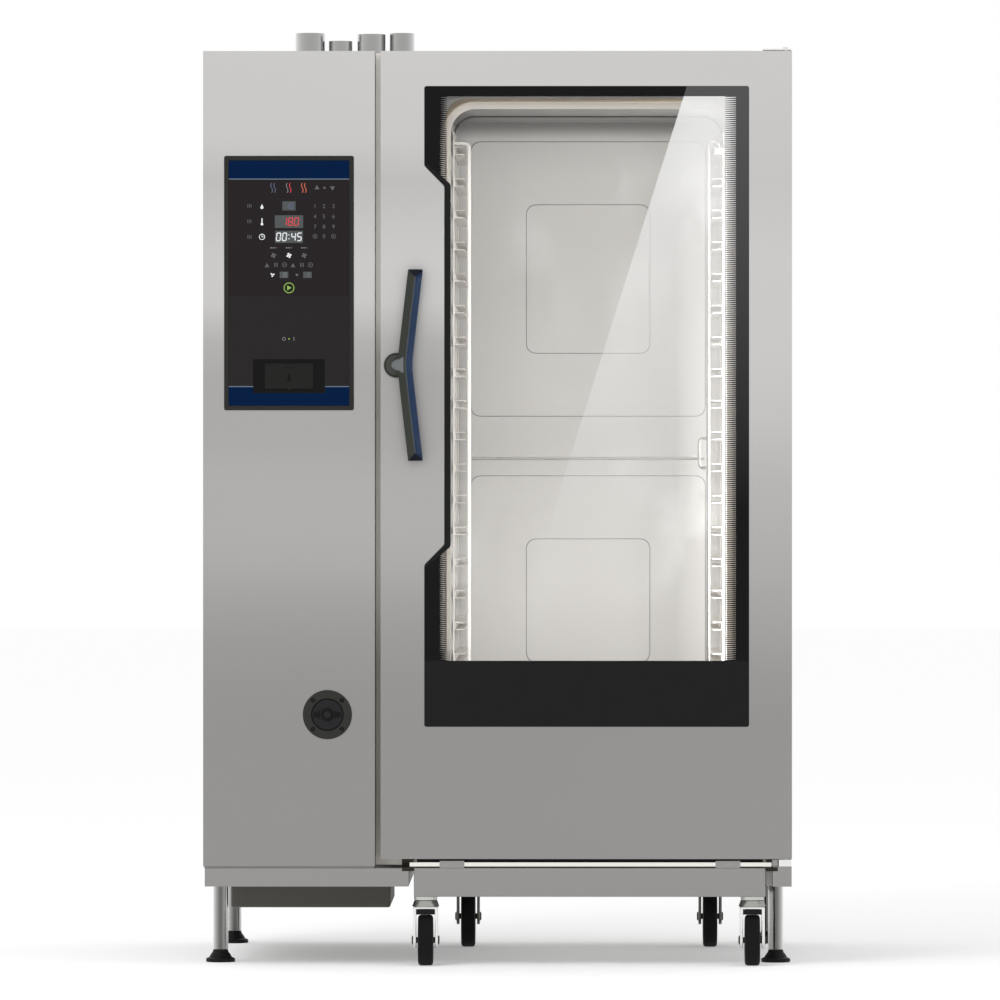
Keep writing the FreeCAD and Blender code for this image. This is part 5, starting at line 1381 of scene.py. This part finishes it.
# ---- door --------------------------------------------------------------------------------------
@dataclass
class Door:
    """Folded door skin, printed window, inner glass, trim, seal and light strips."""

    fold: float = 1.4
    line_width: float = 1.2

    def build(self) -> None:
        """Make the door."""
        looks = {
            "door_skin": ("front", self.fold, "panel_steel"),
            "door_inner_frame": ("door_back", 0.5, "cavity_steel"),
            "outer_glass": ("window", 0.0, "black_glass"),
            "inner_glass": ("clear", 0.0, "clear_glass"),
            "window_trim": ("trim", 0.3, "black_plastic"),
        }
        for node, (finish, bevel, slot) in looks.items():
            skin(node, "door", finish, slot, bevel)
        skin("door_gasket", "cabinet", "seal", "seal_rubber", 3.0, 3)
        skin("latch_keeper", "cabinet", "zinc", "fastener_steel", 1.0)
        self.trim_highlight_line()
        self.light_strips()
        self.glass_clips()

    def trim_highlight_line(self) -> None:
        """Glowing lines on the glass side of the trim's two slanting ends: a painted highlight for the
        trim's bevel.
        """
        low, high = box("window_trim")
        drop, off, y = high.x - low.x, 0.9, low.y + 1.6
        edges = Forge()
        for level, turn in ((high.z, -1.0), (low.z, 1.0)):
            edges.rod([(low.x + 1.0, y, level + turn * (1.0 - off)),
                       (high.x - 8.0 + off, y, level + turn * (drop - 8.0 - off)),
                       (high.x + off, y, level + turn * (drop + 6.0))],
                      self.line_width / 2.0, 7.0, 8)
        edges.piece("trim_bevel_highlight", "door", "pale_line", "black_plastic")

    def light_strips(self) -> None:
        """Dark housings against the outer glass with lit lenses towards the cavity."""
        low, high = box("door_lights")
        width, lens = 16.0, 3.0
        housings, lenses = Forge(), Forge()
        for x in (low.x, high.x - width):
            housings.block((x, low.y + 0.6, low.z),
                            (x + width, high.y - lens, high.z + 55.0), 1.0)
            lenses.block((x + 1.5, high.y - lens - 0.4, low.z + 2.0),
                         (x + width - 1.5, high.y, high.z - 2.0), 1.2, 3)
        refine(housings, "door_lights", "door", "black", "lamp_plastic")
        lenses.piece("light_lenses", "door", "lamp", "lamp_plastic")

    def glass_clips(self) -> None:
        """Spring clips that hold the inner glass on the door's rear sheet."""
        low, high = box("inner_glass")
        clips = Forge()
        for x in (low.x, high.x):
            for share in (0.15, 0.5, 0.85):
                z = low.z + (high.z - low.z) * share
                clips.block((x - 5.0, low.y - 2.0, z - 12.0),
                            (x + 5.0, low.y - 0.2, z + 12.0), 0.6)
        clips.piece("glass_clips", "door", "zinc", "fastener_steel")


@dataclass
class Handle:
    """Bent two-tone handle with its ridge, boss, neck, rosette and spindle."""

    half_length: float = 188.5
    bend: float = 20.6
    bend_radius: float = 14.0
    width: float = 29.0
    ridge: float = 16.0
    depth: float = 36.0
    shoulder: float = 18.0
    tip: float = 15.8

    def __post_init__(self) -> None:
        """Find the handle's place."""
        low, high = box("handle_insert")
        self.front = box("handle_lever")[0].y
        self.middle_z = (low.z + high.z) / 2.0
        self.far_right = high.x
        self.axis_x = centre_of("handle_rosette").x

    def left_edge(self, rise: float) -> float:
        """The bar's left edge at a height above its middle.

        Args:
            rise: Height above the middle.

        Returns:
            The x of the left edge.
        """
        sway = math.hypot(rise, self.bend_radius) - self.bend_radius
        full = math.hypot(self.half_length, self.bend_radius) - self.bend_radius
        return self.far_right - self.width - self.bend + self.bend * sway / full

    def stations(self) -> list[Flat]:
        """Heights along the bar, each with the retreat of its front."""
        end = self.half_length
        plain = [(share * end, 0.0) for share in (-0.6, -0.3, -0.14, -0.05, 0.05, 0.14, 0.3, 0.6)]
        low = self.shoulder + 0.6
        return [(-end, low), (-end + self.tip, 0.0), *plain, (end - self.tip, 0.0), (end, low)]

    def section(self, rise: float, retreat: float, corners: Sequence[Flat]) -> list[Point]:
        """One cross-section.

        Args:
            rise: Height above the middle.
            retreat: How far the front has dropped back.
            corners: Distance from the left edge and from the front, corner by corner.

        Returns:
            The points.
        """
        x = self.left_edge(rise)
        z = self.middle_z + rise
        return [(x + across, self.front + max(back, retreat), z) for across, back in corners]

    def bar(self, corners: Sequence[Flat], bevel: float) -> Forge:
        """Loft a bar along the stations.

        Args:
            corners: Cross-section.
            bevel: Width of the edge rounding.

        Returns:
            The forge that holds it.
        """
        forge = Forge()
        forge.loft([self.section(rise, retreat, corners) for rise, retreat in self.stations()])
        forge.round_sharp(bevel, 3, 20.0)
        return forge

    def build(self) -> None:
        """Make the handle."""
        crest = 1.0
        left = [(self.ridge - crest, self.depth), (0.0, self.depth), (0.0, self.shoulder),
                (self.ridge - crest, 0.7)]
        right = [(self.ridge + crest, self.depth), (self.ridge + crest, 0.7),
                 (self.width, self.shoulder), (self.width, self.depth)]
        middle = [(self.ridge - crest, self.depth), (self.ridge - crest, 0.5), (self.ridge, 0.0),
                  (self.ridge + crest, 0.5), (self.ridge + crest, self.depth)]
        lever = self.bar(left, 1.2)
        refine(lever, "handle_lever", "handle", "lever", "handle_grey", smooth=26.0)
        insert = self.bar(right, 2.2)
        refine(insert, "handle_insert", "handle", "blue", "handle_blue", smooth=26.0)
        # The ridge is lighter than the lever: a painted highlight along the crest.
        self.bar(middle, 0.2).piece("handle_crest_highlight", "handle", "ridge", "handle_grey")
        self.tips()
        self.boss()

    def tips(self) -> None:
        """Make the end facets, dark navy as painted shade."""
        proud, corner = 0.3, 4.5
        ends = Forge()
        for side in (-1.0, 1.0):
            full, inner = side * self.half_length, side * (self.half_length - self.tip)
            low = side * (self.half_length - corner)
            flat = [(self.ridge, -proud, inner), (0.2, self.shoulder - proud, full),
                    (self.width - corner, self.shoulder - proud, full),
                    (self.width, self.shoulder - proud, low)]
            points = []
            for across, back, rise in flat:
                x, z = self.left_edge(rise) + across, self.middle_z + rise
                points += [(x, self.front + back, z), (x, self.front + self.depth, z)]
            ends.hull(points, 1.0, 2)
        ends.piece("handle_shaded_tips", "handle", "tip", "handle_blue")

    def boss(self) -> None:
        """Make the boss, neck, rosette and spindle."""
        low, high = box("handle_rosette")
        z, radius = self.middle_z, 20.0
        back = low.y - 0.3
        top = self.front + self.depth
        depth = back - top
        boss = Forge().lathe(
            [(0.0, 0.3), (radius - 8.0, 0.0), (radius - 3.5, 0.8),
             (radius - 1.0, 2.6), (radius, 5.5), (radius, depth), (0.0, depth)],
            (self.axis_x, top, z), "Y", 72)
        boss.piece("handle_boss", "handle", "boss", "handle_grey", smooth=40.0)
        left = self.left_edge(0.0)
        flat = ring_points(16, 10.0, (self.axis_x + 1.0, z))
        points = [(x, top - 3.0, height) for x, height in flat]
        points += [(x, top + 2.0, height) for x, height in flat]
        points += [(left + 12.0, y, z + side * 17.0) for side in (-1.0, 1.0)
                   for y in (self.front + 4.2, top + 2.0)]
        neck = Forge().hull(points, 2.4, 3)
        # The neck's light grey is a painted highlight.
        neck.piece("handle_highlit_neck", "handle", "neck", "handle_grey")
        outer = (high.x - low.x) / 2.0
        height = high.y - low.y
        rosette = Forge().lathe(
            [(7.2, 0.0), (outer - 3.0, 0.0), (outer - 0.8, 1.0),
             (outer, 3.2), (outer, height), (7.2, height)],
            (self.axis_x, low.y, z), "Y", 72, True)
        refine(rosette, "handle_rosette", "door", "lever", "handle_grey", smooth=40.0)
        skin("handle_spindle", "handle", "zinc", "fastener_steel", 0.6)


# ---- cavity ------------------------------------------------------------------------------------
@dataclass
class Cavity:
    """Liner, air baffle, fans, heating and everything in the column."""

    fold: float = 1.4
    wall: float = 419.0
    floor: float = 222.0
    wall_step: float = 2.0
    line_radius: float = 1.0
    line_bend: float = 19.0

    def build(self) -> None:
        """Make the cavity and its equipment."""
        looks = {
            "cavity_liner": ("cavity", self.fold, "cavity_steel"),
            "fan_baffle": ("cavity", 0.4, "cavity_steel"),
            "heating_rings": ("heater", 0.0, "heater_alloy"),
            "fan_motors": ("cast", 2.0, "cast_aluminium"),
            "steam_generator": ("galvanised", 0.0, "panel_steel"),
            "power_electronics": ("case", 1.0, "grey_plastic"),
            "hose_reel": ("black", 1.0, "black_plastic"),
            "insulation": ("wool", 0.0, "mineral_wool"),
        }
        for node, (finish, bevel, slot) in looks.items():
            skin(node, "cabinet", finish, slot, bevel)
        self.pressings()
        for side in ("lower", "upper"):
            skin(side + "_fan", side + "_fan_wheel", "cavity", "cavity_steel", 0.3)

    def loop(self, forge: Forge, sides: Sequence[float], y: float) -> None:
        """Add a thin rounded frame on the rear wall.

        Args:
            forge: The mesh that takes it.
            sides: Left, right, bottom and top.
            y: Depth of its middle line.
        """
        left, right, bottom, top = sides
        middle = (left + right) / 2.0
        forge.rod([(middle, y, top), (right, y, top), (right, y, bottom), (left, y, bottom),
                   (left, y, top), (middle, y, top)], self.line_radius, self.line_bend, 8, 5)

    def pressings(self) -> None:
        """Draw the pressed outlines of the rear wall and the bead round the liner as dark rods, painted
        shade in the creases, and its rib as a bright rod, a painted highlight on the fold.
        """
        low, high = box("cavity_liner")
        wall, floor = self.wall, self.floor
        left, right, top = low.x + 133.0, high.x - 1.5, high.z - 1.5
        split = floor + 0.53 * (top - floor)
        middle, inner = (left + right) / 2.0, 127.0
        lines = Forge()
        for bottom, roof in ((split + 88.0, top - 38.0), (floor + 230.0, split - 36.0)):
            self.loop(lines, (left + 32.0, right - 32.0, bottom, roof), wall - 0.1)
            self.loop(lines, (middle - inner, middle + inner, bottom + 130.0, roof - 130.0),
                      wall - self.wall_step - 0.1)
        lines.piece("crease_shade_lines", "cabinet", "line", "cavity_steel")
        # Bright rod on the wall's fold: a painted highlight.
        rib = Forge().rod([(left + 34.0, wall, split), (right - 34.0, wall, split)], 3.0, sides=12)
        rib.piece("rib_highlight_line", "cabinet", "ridge_line", "cavity_steel")
        # Dark rods along the bead: painted shade.
        bead = Forge()
        for y in (-12.0, 14.0):
            edge = 0.6
            bead.rod([(left + edge, y, 1200.0), (left + edge, y, top - edge), (right - edge, y, top - edge),
                      (right - edge, y, 1200.0)], 1.8, 47.0, 8, 12)
        bead.piece("bead_shade_lines", "cabinet", "line", "cavity_steel")


# ---- trolley -----------------------------------------------------------------------------------
@dataclass
class Trolley:
    """Rack trolley: apron, docking rod, frame, pan, posts, runners and tray lock."""

    edge: float = 1.4
    rod_radius: float = 4.0

    def build(self) -> None:
        """Make the trolley."""
        looks = {
            "trolley_frame": ("base", 1.0, "frame_steel"),
            "trolley_base_pan": ("cavity", 0.6, "cavity_steel"),
            "rack_posts": ("rack", 0.3, "rack_steel"),
            "tray_runners": ("rack", 0.3, "rack_steel"),
        }
        for node, (finish, bevel, slot) in looks.items():
            skin(node, "trolley", finish, slot, bevel, 1)
        self.apron()
        skin("tray_lock_bar", "tray_lock", "lock", "rack_steel", smooth=50.0)
        skin("docking_blocks", "cabinet", "block", "black_plastic", 1.2)
        self.docking()

    def docking(self) -> None:
        """Make the catch plates on the base frame, the cap and the strip that closes the gap."""
        low, high = box("docking_blocks")
        front = box("base_frame")[0].y
        plates = Forge()
        for start, stop in ((low.x, low.x + 21.0), (high.x - 21.0, high.x)):
            plates.block((start, front - 1.6, low.z), (stop, front + 3.0, low.z + 7.9),
                         0.6)
        plates.piece("catch_plates", "cabinet", "block", "black_plastic")
        cap = Forge().block((high.x - 11.0, low.y - 1.5, low.z + 10.0),
                            (high.x, low.y + 0.5, high.z), 0.5)
        cap.piece("catch_cap", "cabinet", "base", "panel_steel")
        apron_low, apron_high = box("trolley_apron")
        strip = Forge().block((apron_low.x + 14.0, apron_low.y + 27.0, 192.0),
                              (apron_high.x - 17.0, apron_low.y + 30.0, 209.3), 0.8)
        strip.piece("apron_strip", "trolley", "port", "seal_rubber")

    def apron(self) -> None:
        """Make the apron with its knuckles, swivel plates and the docking rod."""
        low, high = box("trolley_apron")
        left, right = low.x + 8.3, high.x - 11.9
        front, back, bottom, top = low.y, low.y + 55.0, 135.5, 192.5
        rod_y, rod_z, knuckle_top = low.y + 11.0, 199.0, high.z
        apron = Forge().block((left, front, bottom), (right, back, top), self.edge, 3)
        for x in (left + 75.3, right - 74.1):
            apron.block((x - 24.5, rod_y - 10.0, top - 1.5),
                        (x + 24.5, rod_y + 10.0, knuckle_top), 1.0, 3)
        refine(apron, "trolley_apron", "trolley", "base", "panel_steel")
        # The docking rod glows: a painted highlight.
        rod = Forge().rod([(low.x, rod_y, rod_z), (high.x, rod_y, rod_z)], self.rod_radius, sides=24)
        rod.piece("glowing_dock_rod", "trolley", "bright_rod", "rack_steel")
        plates = Forge()
        for x in (left + 23.3, right - 26.1):
            y, base = low.y + 30.0, 127.4
            plates.lathe([(0.0, bottom), (23.0, bottom), (23.0, base + 1.2),
                          (21.8, base), (6.0, base), (6.0, 112.0),
                          (0.0, 112.0)], (x, y, 0.0), "Z", 48)
        plates.piece("swivel_plates", "trolley", "zinc", "fork_zinc")


@dataclass
class Casters:
    """Swivel and fixed casters: stamped forks, swivel heads, axles, hubs and tyres."""

    plate: float = 6.0
    clearance: float = 3.5

    def wheel(self, node: str, body: str) -> None:
        """Make a wheel's hub and tyre.

        Args:
            node: The wheel's node.
            body: The body that it moves with.
        """
        low, high = box(node)
        centre = (low + high) / 2.0
        half, radius = (high.x - low.x) / 2.0, (high.z - low.z) / 2.0
        seat = radius * 0.72
        crown = 5.0
        near = [(seat, 1.6 - half), (seat + 1.2, 0.2 - half), (radius - crown - 1.0, -half),
                (radius - crown * 0.4, crown * 0.25 - half), (radius - 0.5, crown * 0.75 - half),
                (radius, crown * 1.3 - half)]
        far = [(r, -place) for r, place in reversed(near)]
        tyre = Forge().lathe(near + far, centre, "X", 80, True)
        refine(tyre, node, body, "tyre", "wheel_rubber", smooth=35.0)
        hub = Forge()
        bore, boss, dish = 6.1, radius * 0.3, 4.6
        side = [(bore, half - 0.4), (boss - 0.8, half - 0.4), (boss, half - 1.2),
                (boss + 1.0, half - dish), (seat - 4.0, half - dish),
                (seat - 2.4, half - 1.4), (seat, half - 1.4)]
        mirrored = [(r, -place) for r, place in reversed(side)]
        hub.lathe(side + mirrored, centre, "X", 64, True)
        for y, z in ring_points(5, radius * 0.46, (centre.y, centre.z), 18.0):
            for face in (-1.0, 1.0):
                x = centre.x + face * (half - dish)
                hub.lathe([(0.0, 0.0), (2.6, 0.0), (2.6, face * 0.8),
                           (2.2, face * 1.2), (0.0, face * 1.2)], (x, y, z), "X", 14)
        hub.piece(node + "_hub", body, "hub", "wheel_rubber", smooth=30.0)

    def cheek(self, forge: Forge, x: float, axle: Flat, top: float, reach: float,
              tip: float = 17.0) -> None:
        """Add one stamped cheek of a fork.

        Args:
            forge: The mesh that takes it.
            x: Inner or outer face, whichever is lower in x.
            axle: The axle's y and z.
            top: Height of the upper edge.
            reach: Half length of the upper edge.
            tip: Radius of the lower end.
        """
        lower = [(y, z) for y, z in ring_points(22, tip, axle, -8.0) if z <= axle[1] + 0.4 * tip]
        outline = lower + [(axle[0] - reach, top), (axle[0] + reach, top)]
        points = [(place, y, z) for place in (x, x + self.plate) for y, z in outline]
        forge.hull(points, 0.9, 2)

    def axle(self, forge: Forge, centre: Vector, half: float) -> None:
        """Add the axle with a hexagon nut and a washer at both ends.

        Args:
            forge: The mesh that takes it.
            centre: Middle of the axle.
            half: Distance from there to the cheeks' outer faces.
        """
        reach = half + 3.0
        forge.rod([(centre.x - reach, centre.y, centre.z), (centre.x + reach, centre.y, centre.z)],
                  5.9, sides=20)
        for side in (-1.0, 1.0):
            start = centre.x + side * half
            forge.lathe([(0.0, 0.0), (9.5, 0.0), (9.5, side * 0.9),
                         (0.0, side * 0.9)], (start, centre.y, centre.z), "X", 28)
            forge.lathe([(0.0, side * 0.9), (8.0, side * 0.9), (8.0, side * 2.4),
                         (7.2, side * 2.8), (0.0, side * 2.8)],
                        (start, centre.y, centre.z), "X", 6)

    def swivel(self, side: str) -> None:
        """Make one front caster's fork.

        Args:
            side: left or right.
        """
        caster = "front_" + side + "_caster"
        node = caster + "_fork"
        low, high = box(node)
        wheel_low, wheel_high = box("front_" + side + "_wheel")
        wheel = (wheel_low + wheel_high) / 2.0
        half = (wheel_high.x - wheel_low.x) / 2.0 + self.clearance
        crown, crown_top = 111.0, 116.0
        swivel_y = wheel.y + 25.0
        fork = Forge()
        for x in (wheel.x - half - self.plate, wheel.x + half):
            self.cheek(fork, x, (wheel.y, wheel.z), crown + 2.0, 17.0)
        fork.block((wheel.x - half - self.plate, low.y, crown),
                   (wheel.x + half + self.plate, swivel_y + 24.0, crown_top), 2.0, 3)
        refine(fork, node, caster, "fork", "fork_zinc")
        # Dark guard block under the crown; it also stands for the shade inside the fork's top, partly
        # painted shade.
        shade_block = Forge().block((wheel.x - half + 0.2, low.y + 2.0, 100.8),
                              (wheel.x + half - 0.2, swivel_y + 18.0, crown), 0.2)
        shade_block.piece("front_" + side + "_guard_and_shade", caster, "black", "black_plastic")
        head = Forge().lathe(
            [(6.2, crown_top - 0.5), (26.5, crown_top - 0.5),
             (26.6, crown_top + 1.0), (24.6, crown_top + 6.0),
             (23.0, high.z), (6.2, high.z)], (wheel.x, swivel_y, 0.0), "Z", 56, True)
        # The head finish darkens the grazing edges: painted shade on the dome's sides.
        head.piece("front_" + side + "_swivel_head", caster, "head", "fork_zinc")
        pin = Forge()
        self.axle(pin, wheel, half + self.plate)
        pin.piece("front_" + side + "_axle", caster, "screw", "fork_zinc")

    def fixed(self) -> None:
        """Make the two fixed rear forks."""
        forks, pins = Forge(), Forge()
        top = box("rear_caster_forks")[1].z
        for side in ("left", "right"):
            wheel_low, wheel_high = box("rear_" + side + "_wheel")
            wheel = (wheel_low + wheel_high) / 2.0
            half = (wheel_high.x - wheel_low.x) / 2.0 + self.clearance
            for x in (wheel.x - half - self.plate, wheel.x + half):
                self.cheek(forks, x, (wheel.y, wheel.z), top - 3.0, 17.0)
            forks.block((wheel.x - half - self.plate, wheel.y - 30.0, top - 5.0),
                        (wheel.x + half + self.plate, wheel.y + 30.0, top), 1.2, 2)
            self.axle(pins, wheel, half + self.plate)
        # The rear fork finish brightens the grazing edges: a painted highlight.
        refine(forks, "rear_caster_forks", "trolley", "rear_fork", "fork_zinc")
        pins.piece("rear_axles", "trolley", "screw", "fork_zinc")

    def build(self) -> None:
        """Make all casters."""
        for side in ("left", "right"):
            self.swivel(side)
            self.wheel("front_" + side + "_wheel", "front_" + side + "_roller")
            self.wheel("rear_" + side + "_wheel", "rear_" + side + "_roller")
        self.fixed()


# ---- feet, hinges and services -------------------------------------------------------------------
@dataclass
class Feet:
    """Levelling feet with pad, cone, nut and stem."""

    pad_edge: float = 1.5
    pad_height: float = 8.0
    cone_radius: float = 18.5
    nut_radius: float = 15.0
    nut_top: float = 25.0
    stem_radius: float = 8.0


    def build(self) -> None:
        """Make the four feet."""
        for corner in ("front_left", "front_right", "rear_left", "rear_right"):
            node = corner + "_foot"
            low, high = box(node)
            centre = (low + high) / 2.0
            radius = (high.x - low.x) / 2.0
            edge, pad, nut, stem = self.pad_edge, self.pad_height, self.nut_radius, self.stem_radius
            foot = Forge().lathe(
                [(0.0, 0.0), (radius - edge, 0.0), (radius, edge), (radius, pad - edge),
                 (radius - edge, pad), (radius - 6.0, 9.5), (self.cone_radius, 17.0),
                 (self.cone_radius - 1.3, 18.0), (nut, 22.0), (nut - 0.2, self.nut_top),
                 (stem, self.nut_top), (stem, high.z), (0.0, high.z)],
                (centre.x, centre.y, 0.0), "Z", 64)
            refine(foot, node, corner + "_levelling_foot", "foot", "foot_plastic")


@dataclass
class Services:
    """Hinges, vent pipes, drain, water inlets and cable gland."""

    vent_offsets: tuple[float, ...] = (33.8, 96.3, 159.8, 222.8)
    vent_radii: tuple[float, ...] = (31.0, 25.0, 30.0, 26.0)
    vent_heights: tuple[float, ...] = (73.0, 57.0, 71.0, 73.0)
    vent_wall: float = 1.5
    rear_face: float = 513.0
    spigot: float = 12.8
    turns: int = 8
    pitch: float = 1.8


    def build(self) -> None:
        """Make the service pieces."""
        skin("door_hinges", "cabinet", "chrome", "hinge_chrome", 0.9, 3)
        skin("cable_gland", "cabinet", "black", "black_plastic", 0.8)
        self.vents()
        self.drain()
        self.inlets()

    def vents(self) -> None:
        """Make the four vent pipes with rolled rims and collars."""
        pipes, collars = Forge(), Forge()
        base = box("top_panel")[1].z
        low, high = box("vent_pipes")
        y = (low.y + high.y) / 2.0
        wall = self.vent_wall
        for offset, r, height in zip(self.vent_offsets, self.vent_radii, self.vent_heights):
            x, top = low.x + offset, base + height
            pipes.lathe([(r, low.z), (r, top - 0.5), (r - 0.4, top), (r - wall + 0.4, top),
                         (r - wall, top - 0.5), (r - wall, low.z)], (x, y, 0.0), "Z", 72, True)
            collars.lathe([(r + 0.02, base), (r + 2.7, base), (r + 2.7, base + 1.2),
                           (r + 1.6, base + 3.0), (r + 0.02, base + 3.0)],
                          (x, y, 0.0), "Z", 72, True)
        # The vent finish brightens the grazing edges: a painted highlight.
        refine(pipes, "vent_pipes", "cabinet", "vent", "pipe_steel")
        collars.piece("vent_collars", "cabinet", "zinc", "pipe_steel")

    def drain(self) -> None:
        """Make the condensate box and its outlet."""
        low, high = box("drain_box")
        back, face, top = 240.0, self.rear_face, high.z
        tank = Forge().block(low, (high.x, back, top), 5.0, 4)
        x, radius = (low.x + high.x) / 2.0, 25.0
        z = top - radius
        tank.block((x - radius, back - 60.0, z - radius), (x + radius, back, top - 0.5), 4.0, 3)
        tank.lathe([(21.0, back - 2.0), (23.0, back - 2.0), (23.0, face),
                   (25.0, face), (25.0, high.y - 0.6), (24.4, high.y),
                   (21.0, high.y)], (x, 0.0, z), "Y", 56, True)
        refine(tank, "drain_box", "cabinet", "drain", "dark_steel")

    def inlets(self) -> None:
        """Make the two threaded water inlets."""
        low, high = box("water_inlets")
        z = (low.z + high.z) / 2.0
        face, radius = self.rear_face, self.spigot
        made = Forge()
        thread = []
        for step in range(self.turns):
            start = face + 3.0 + step * self.pitch
            thread += [(radius - 0.9, start), (radius, start + 0.6),
                       (radius, start + 1.1), (radius - 0.9, start + 1.7)]
        for x in (low.x + 18.0, high.x - 18.0):
            made.lathe([(8.8, face - 30.0), (11.5, face - 30.0), (11.5, face),
                        (radius, face), (radius, face + 2.6), *thread, (radius - 1.2, high.y),
                        (8.8, high.y)], (x, 0.0, z), "Y", 48, True)
            made.lathe([(11.6, face - 1.6), (18.0, face - 1.6),
                        (18.0, face - 7.4), (11.6, face - 7.4)], (x, 0.0, z), "Y", 6, True)
        refine(made, "water_inlets", "cabinet", "brass", "brass")


# ---- studio --------------------------------------------------------------------------------------
@dataclass
class Studio:
    """Camera, soft light and the white floor."""

    camera_place: Point = (0.153, -19.461, 0.978)
    camera_target: Point = (0.005, -0.461, 0.919)
    lens: float = 346.7
    ambient: float = 0.8
    floor_half: float = 40000.0
    floor_depth: float = 50.0

    def build(self) -> None:
        """Make the studio."""
        self.camera()
        self.world()
        self.lights()
        self.floor()

    def camera(self) -> None:
        """Make the camera at the front view."""
        data = bpy.data.cameras.new("camera")
        data.lens = self.lens
        data.sensor_width = 36.0
        data.clip_end = 200.0
        holder = bpy.data.objects.new("camera", data)
        bpy.context.scene.collection.objects.link(holder)
        holder.location = self.camera_place
        ahead = Vector(self.camera_target) - Vector(self.camera_place)
        holder.rotation_euler = ahead.to_track_quat("-Z", "Y").to_euler()
        scene = bpy.context.scene
        scene.camera = holder
        scene.render.resolution_x = 1000
        scene.render.resolution_y = 1000

    def world(self) -> None:
        """White surroundings for the camera and reflections, a little softer for light."""
        shader = Shader("studio", "worlds")
        camera, glossy, through = (shader.node("LightPath", {}, {}, "Is " + ray + " Ray")
                                   for ray in ("Camera", "Glossy", "Transmission"))
        inputs = {"Value": camera.larger(glossy).larger(through), "To Min": self.ambient, "To Max": 1.0}
        strength = shader.node("MapRange", {}, inputs)
        back = shader.node("Background", {}, {"Color": WHITE, "Strength": strength})
        bpy.context.scene.world = shader.finish(back, "OutputWorld")

    def area(self, name: str, place: Point, target: Point, size: Flat, power: float,
             mirrored: bool = False) -> None:
        """Add a soft rectangular light.

        Args:
            name: Its name.
            place: Its centre.
            target: The point that it faces.
            size: Its width and height.
            power: Its power in watts.
            mirrored: Whether reflections show it.
        """
        data = bpy.data.lights.new(name, "AREA")
        data.shape = "RECTANGLE"
        data.size, data.size_y = size
        data.energy = power
        lamp = bpy.data.objects.new(name, data)
        bpy.context.scene.collection.objects.link(lamp)
        lamp.location = place
        lamp.rotation_euler = (Vector(target) - Vector(place)).to_track_quat("-Z", "Y").to_euler()
        lamp.visible_glossy = mirrored
        lamp.visible_camera = False

    def lights(self) -> None:
        """Add the key light and the light inside the cavity."""
        self.area("key", (-3.0, -5.0, 5.0), (0.0, 0.0, 0.9), (3.0, 3.0), 130.0)
        low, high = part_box("cavity_liner")
        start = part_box("outer_glass")[1].y + 3.0 * MM
        middle = (low.x + high.x) / 2.0 + 66.0 * MM
        self.area("cavity_light", (middle, start, 1.06), (middle, start + 1.0, 1.06), (0.58, 1.14), 6.6)
        side = high.x - 40.0 * MM
        self.area("side_light", (side, start, 1.0), (side + 0.05, start + 0.6, 1.0), (0.05, 1.2), 6.6)

    def floor(self) -> None:
        """Make the white floor."""
        shader = Shader("studio_floor")
        grain = shader.noise((40.0, 40.0, 40.0), 2.0)
        paper = shader.node("BsdfDiffuse", {},
                            {"Color": shader.tinted((0.9, 0.9, 0.9), 0.98 + 0.04 * grain)})
        glow = shader.node("Emission", {}, {"Color": (1, 1, 1, 1), "Strength": 0.255})
        both = shader.node("AddShader", {}, {0: paper, 1: glow})
        half = self.floor_half
        forge = Forge().block((-half, -half, -self.floor_depth), (half, half, 0.0))
        data = bpy.data.meshes.new("floor")
        forge.mesh.to_mesh(data)
        forge.mesh.free()
        data.materials.append(shader.finish(both))
        made = bpy.data.objects.new("floor", data)
        bpy.context.scene.collection.objects.link(made)


def main() -> None:
    """Build every assembly, then the studio."""
    scene = bpy.context.scene
    scene.view_settings.view_transform = "Standard"
    for assembly in (Cabinet(), ControlPanel(), HandShower(), Door(), Handle(), Cavity(), Trolley(),
                     Casters(), Feet(), Services()):
        LOG.info("%s", type(assembly).__name__)
        assembly.build()
    Studio().build()


if __name__ == "__main__":
    main()
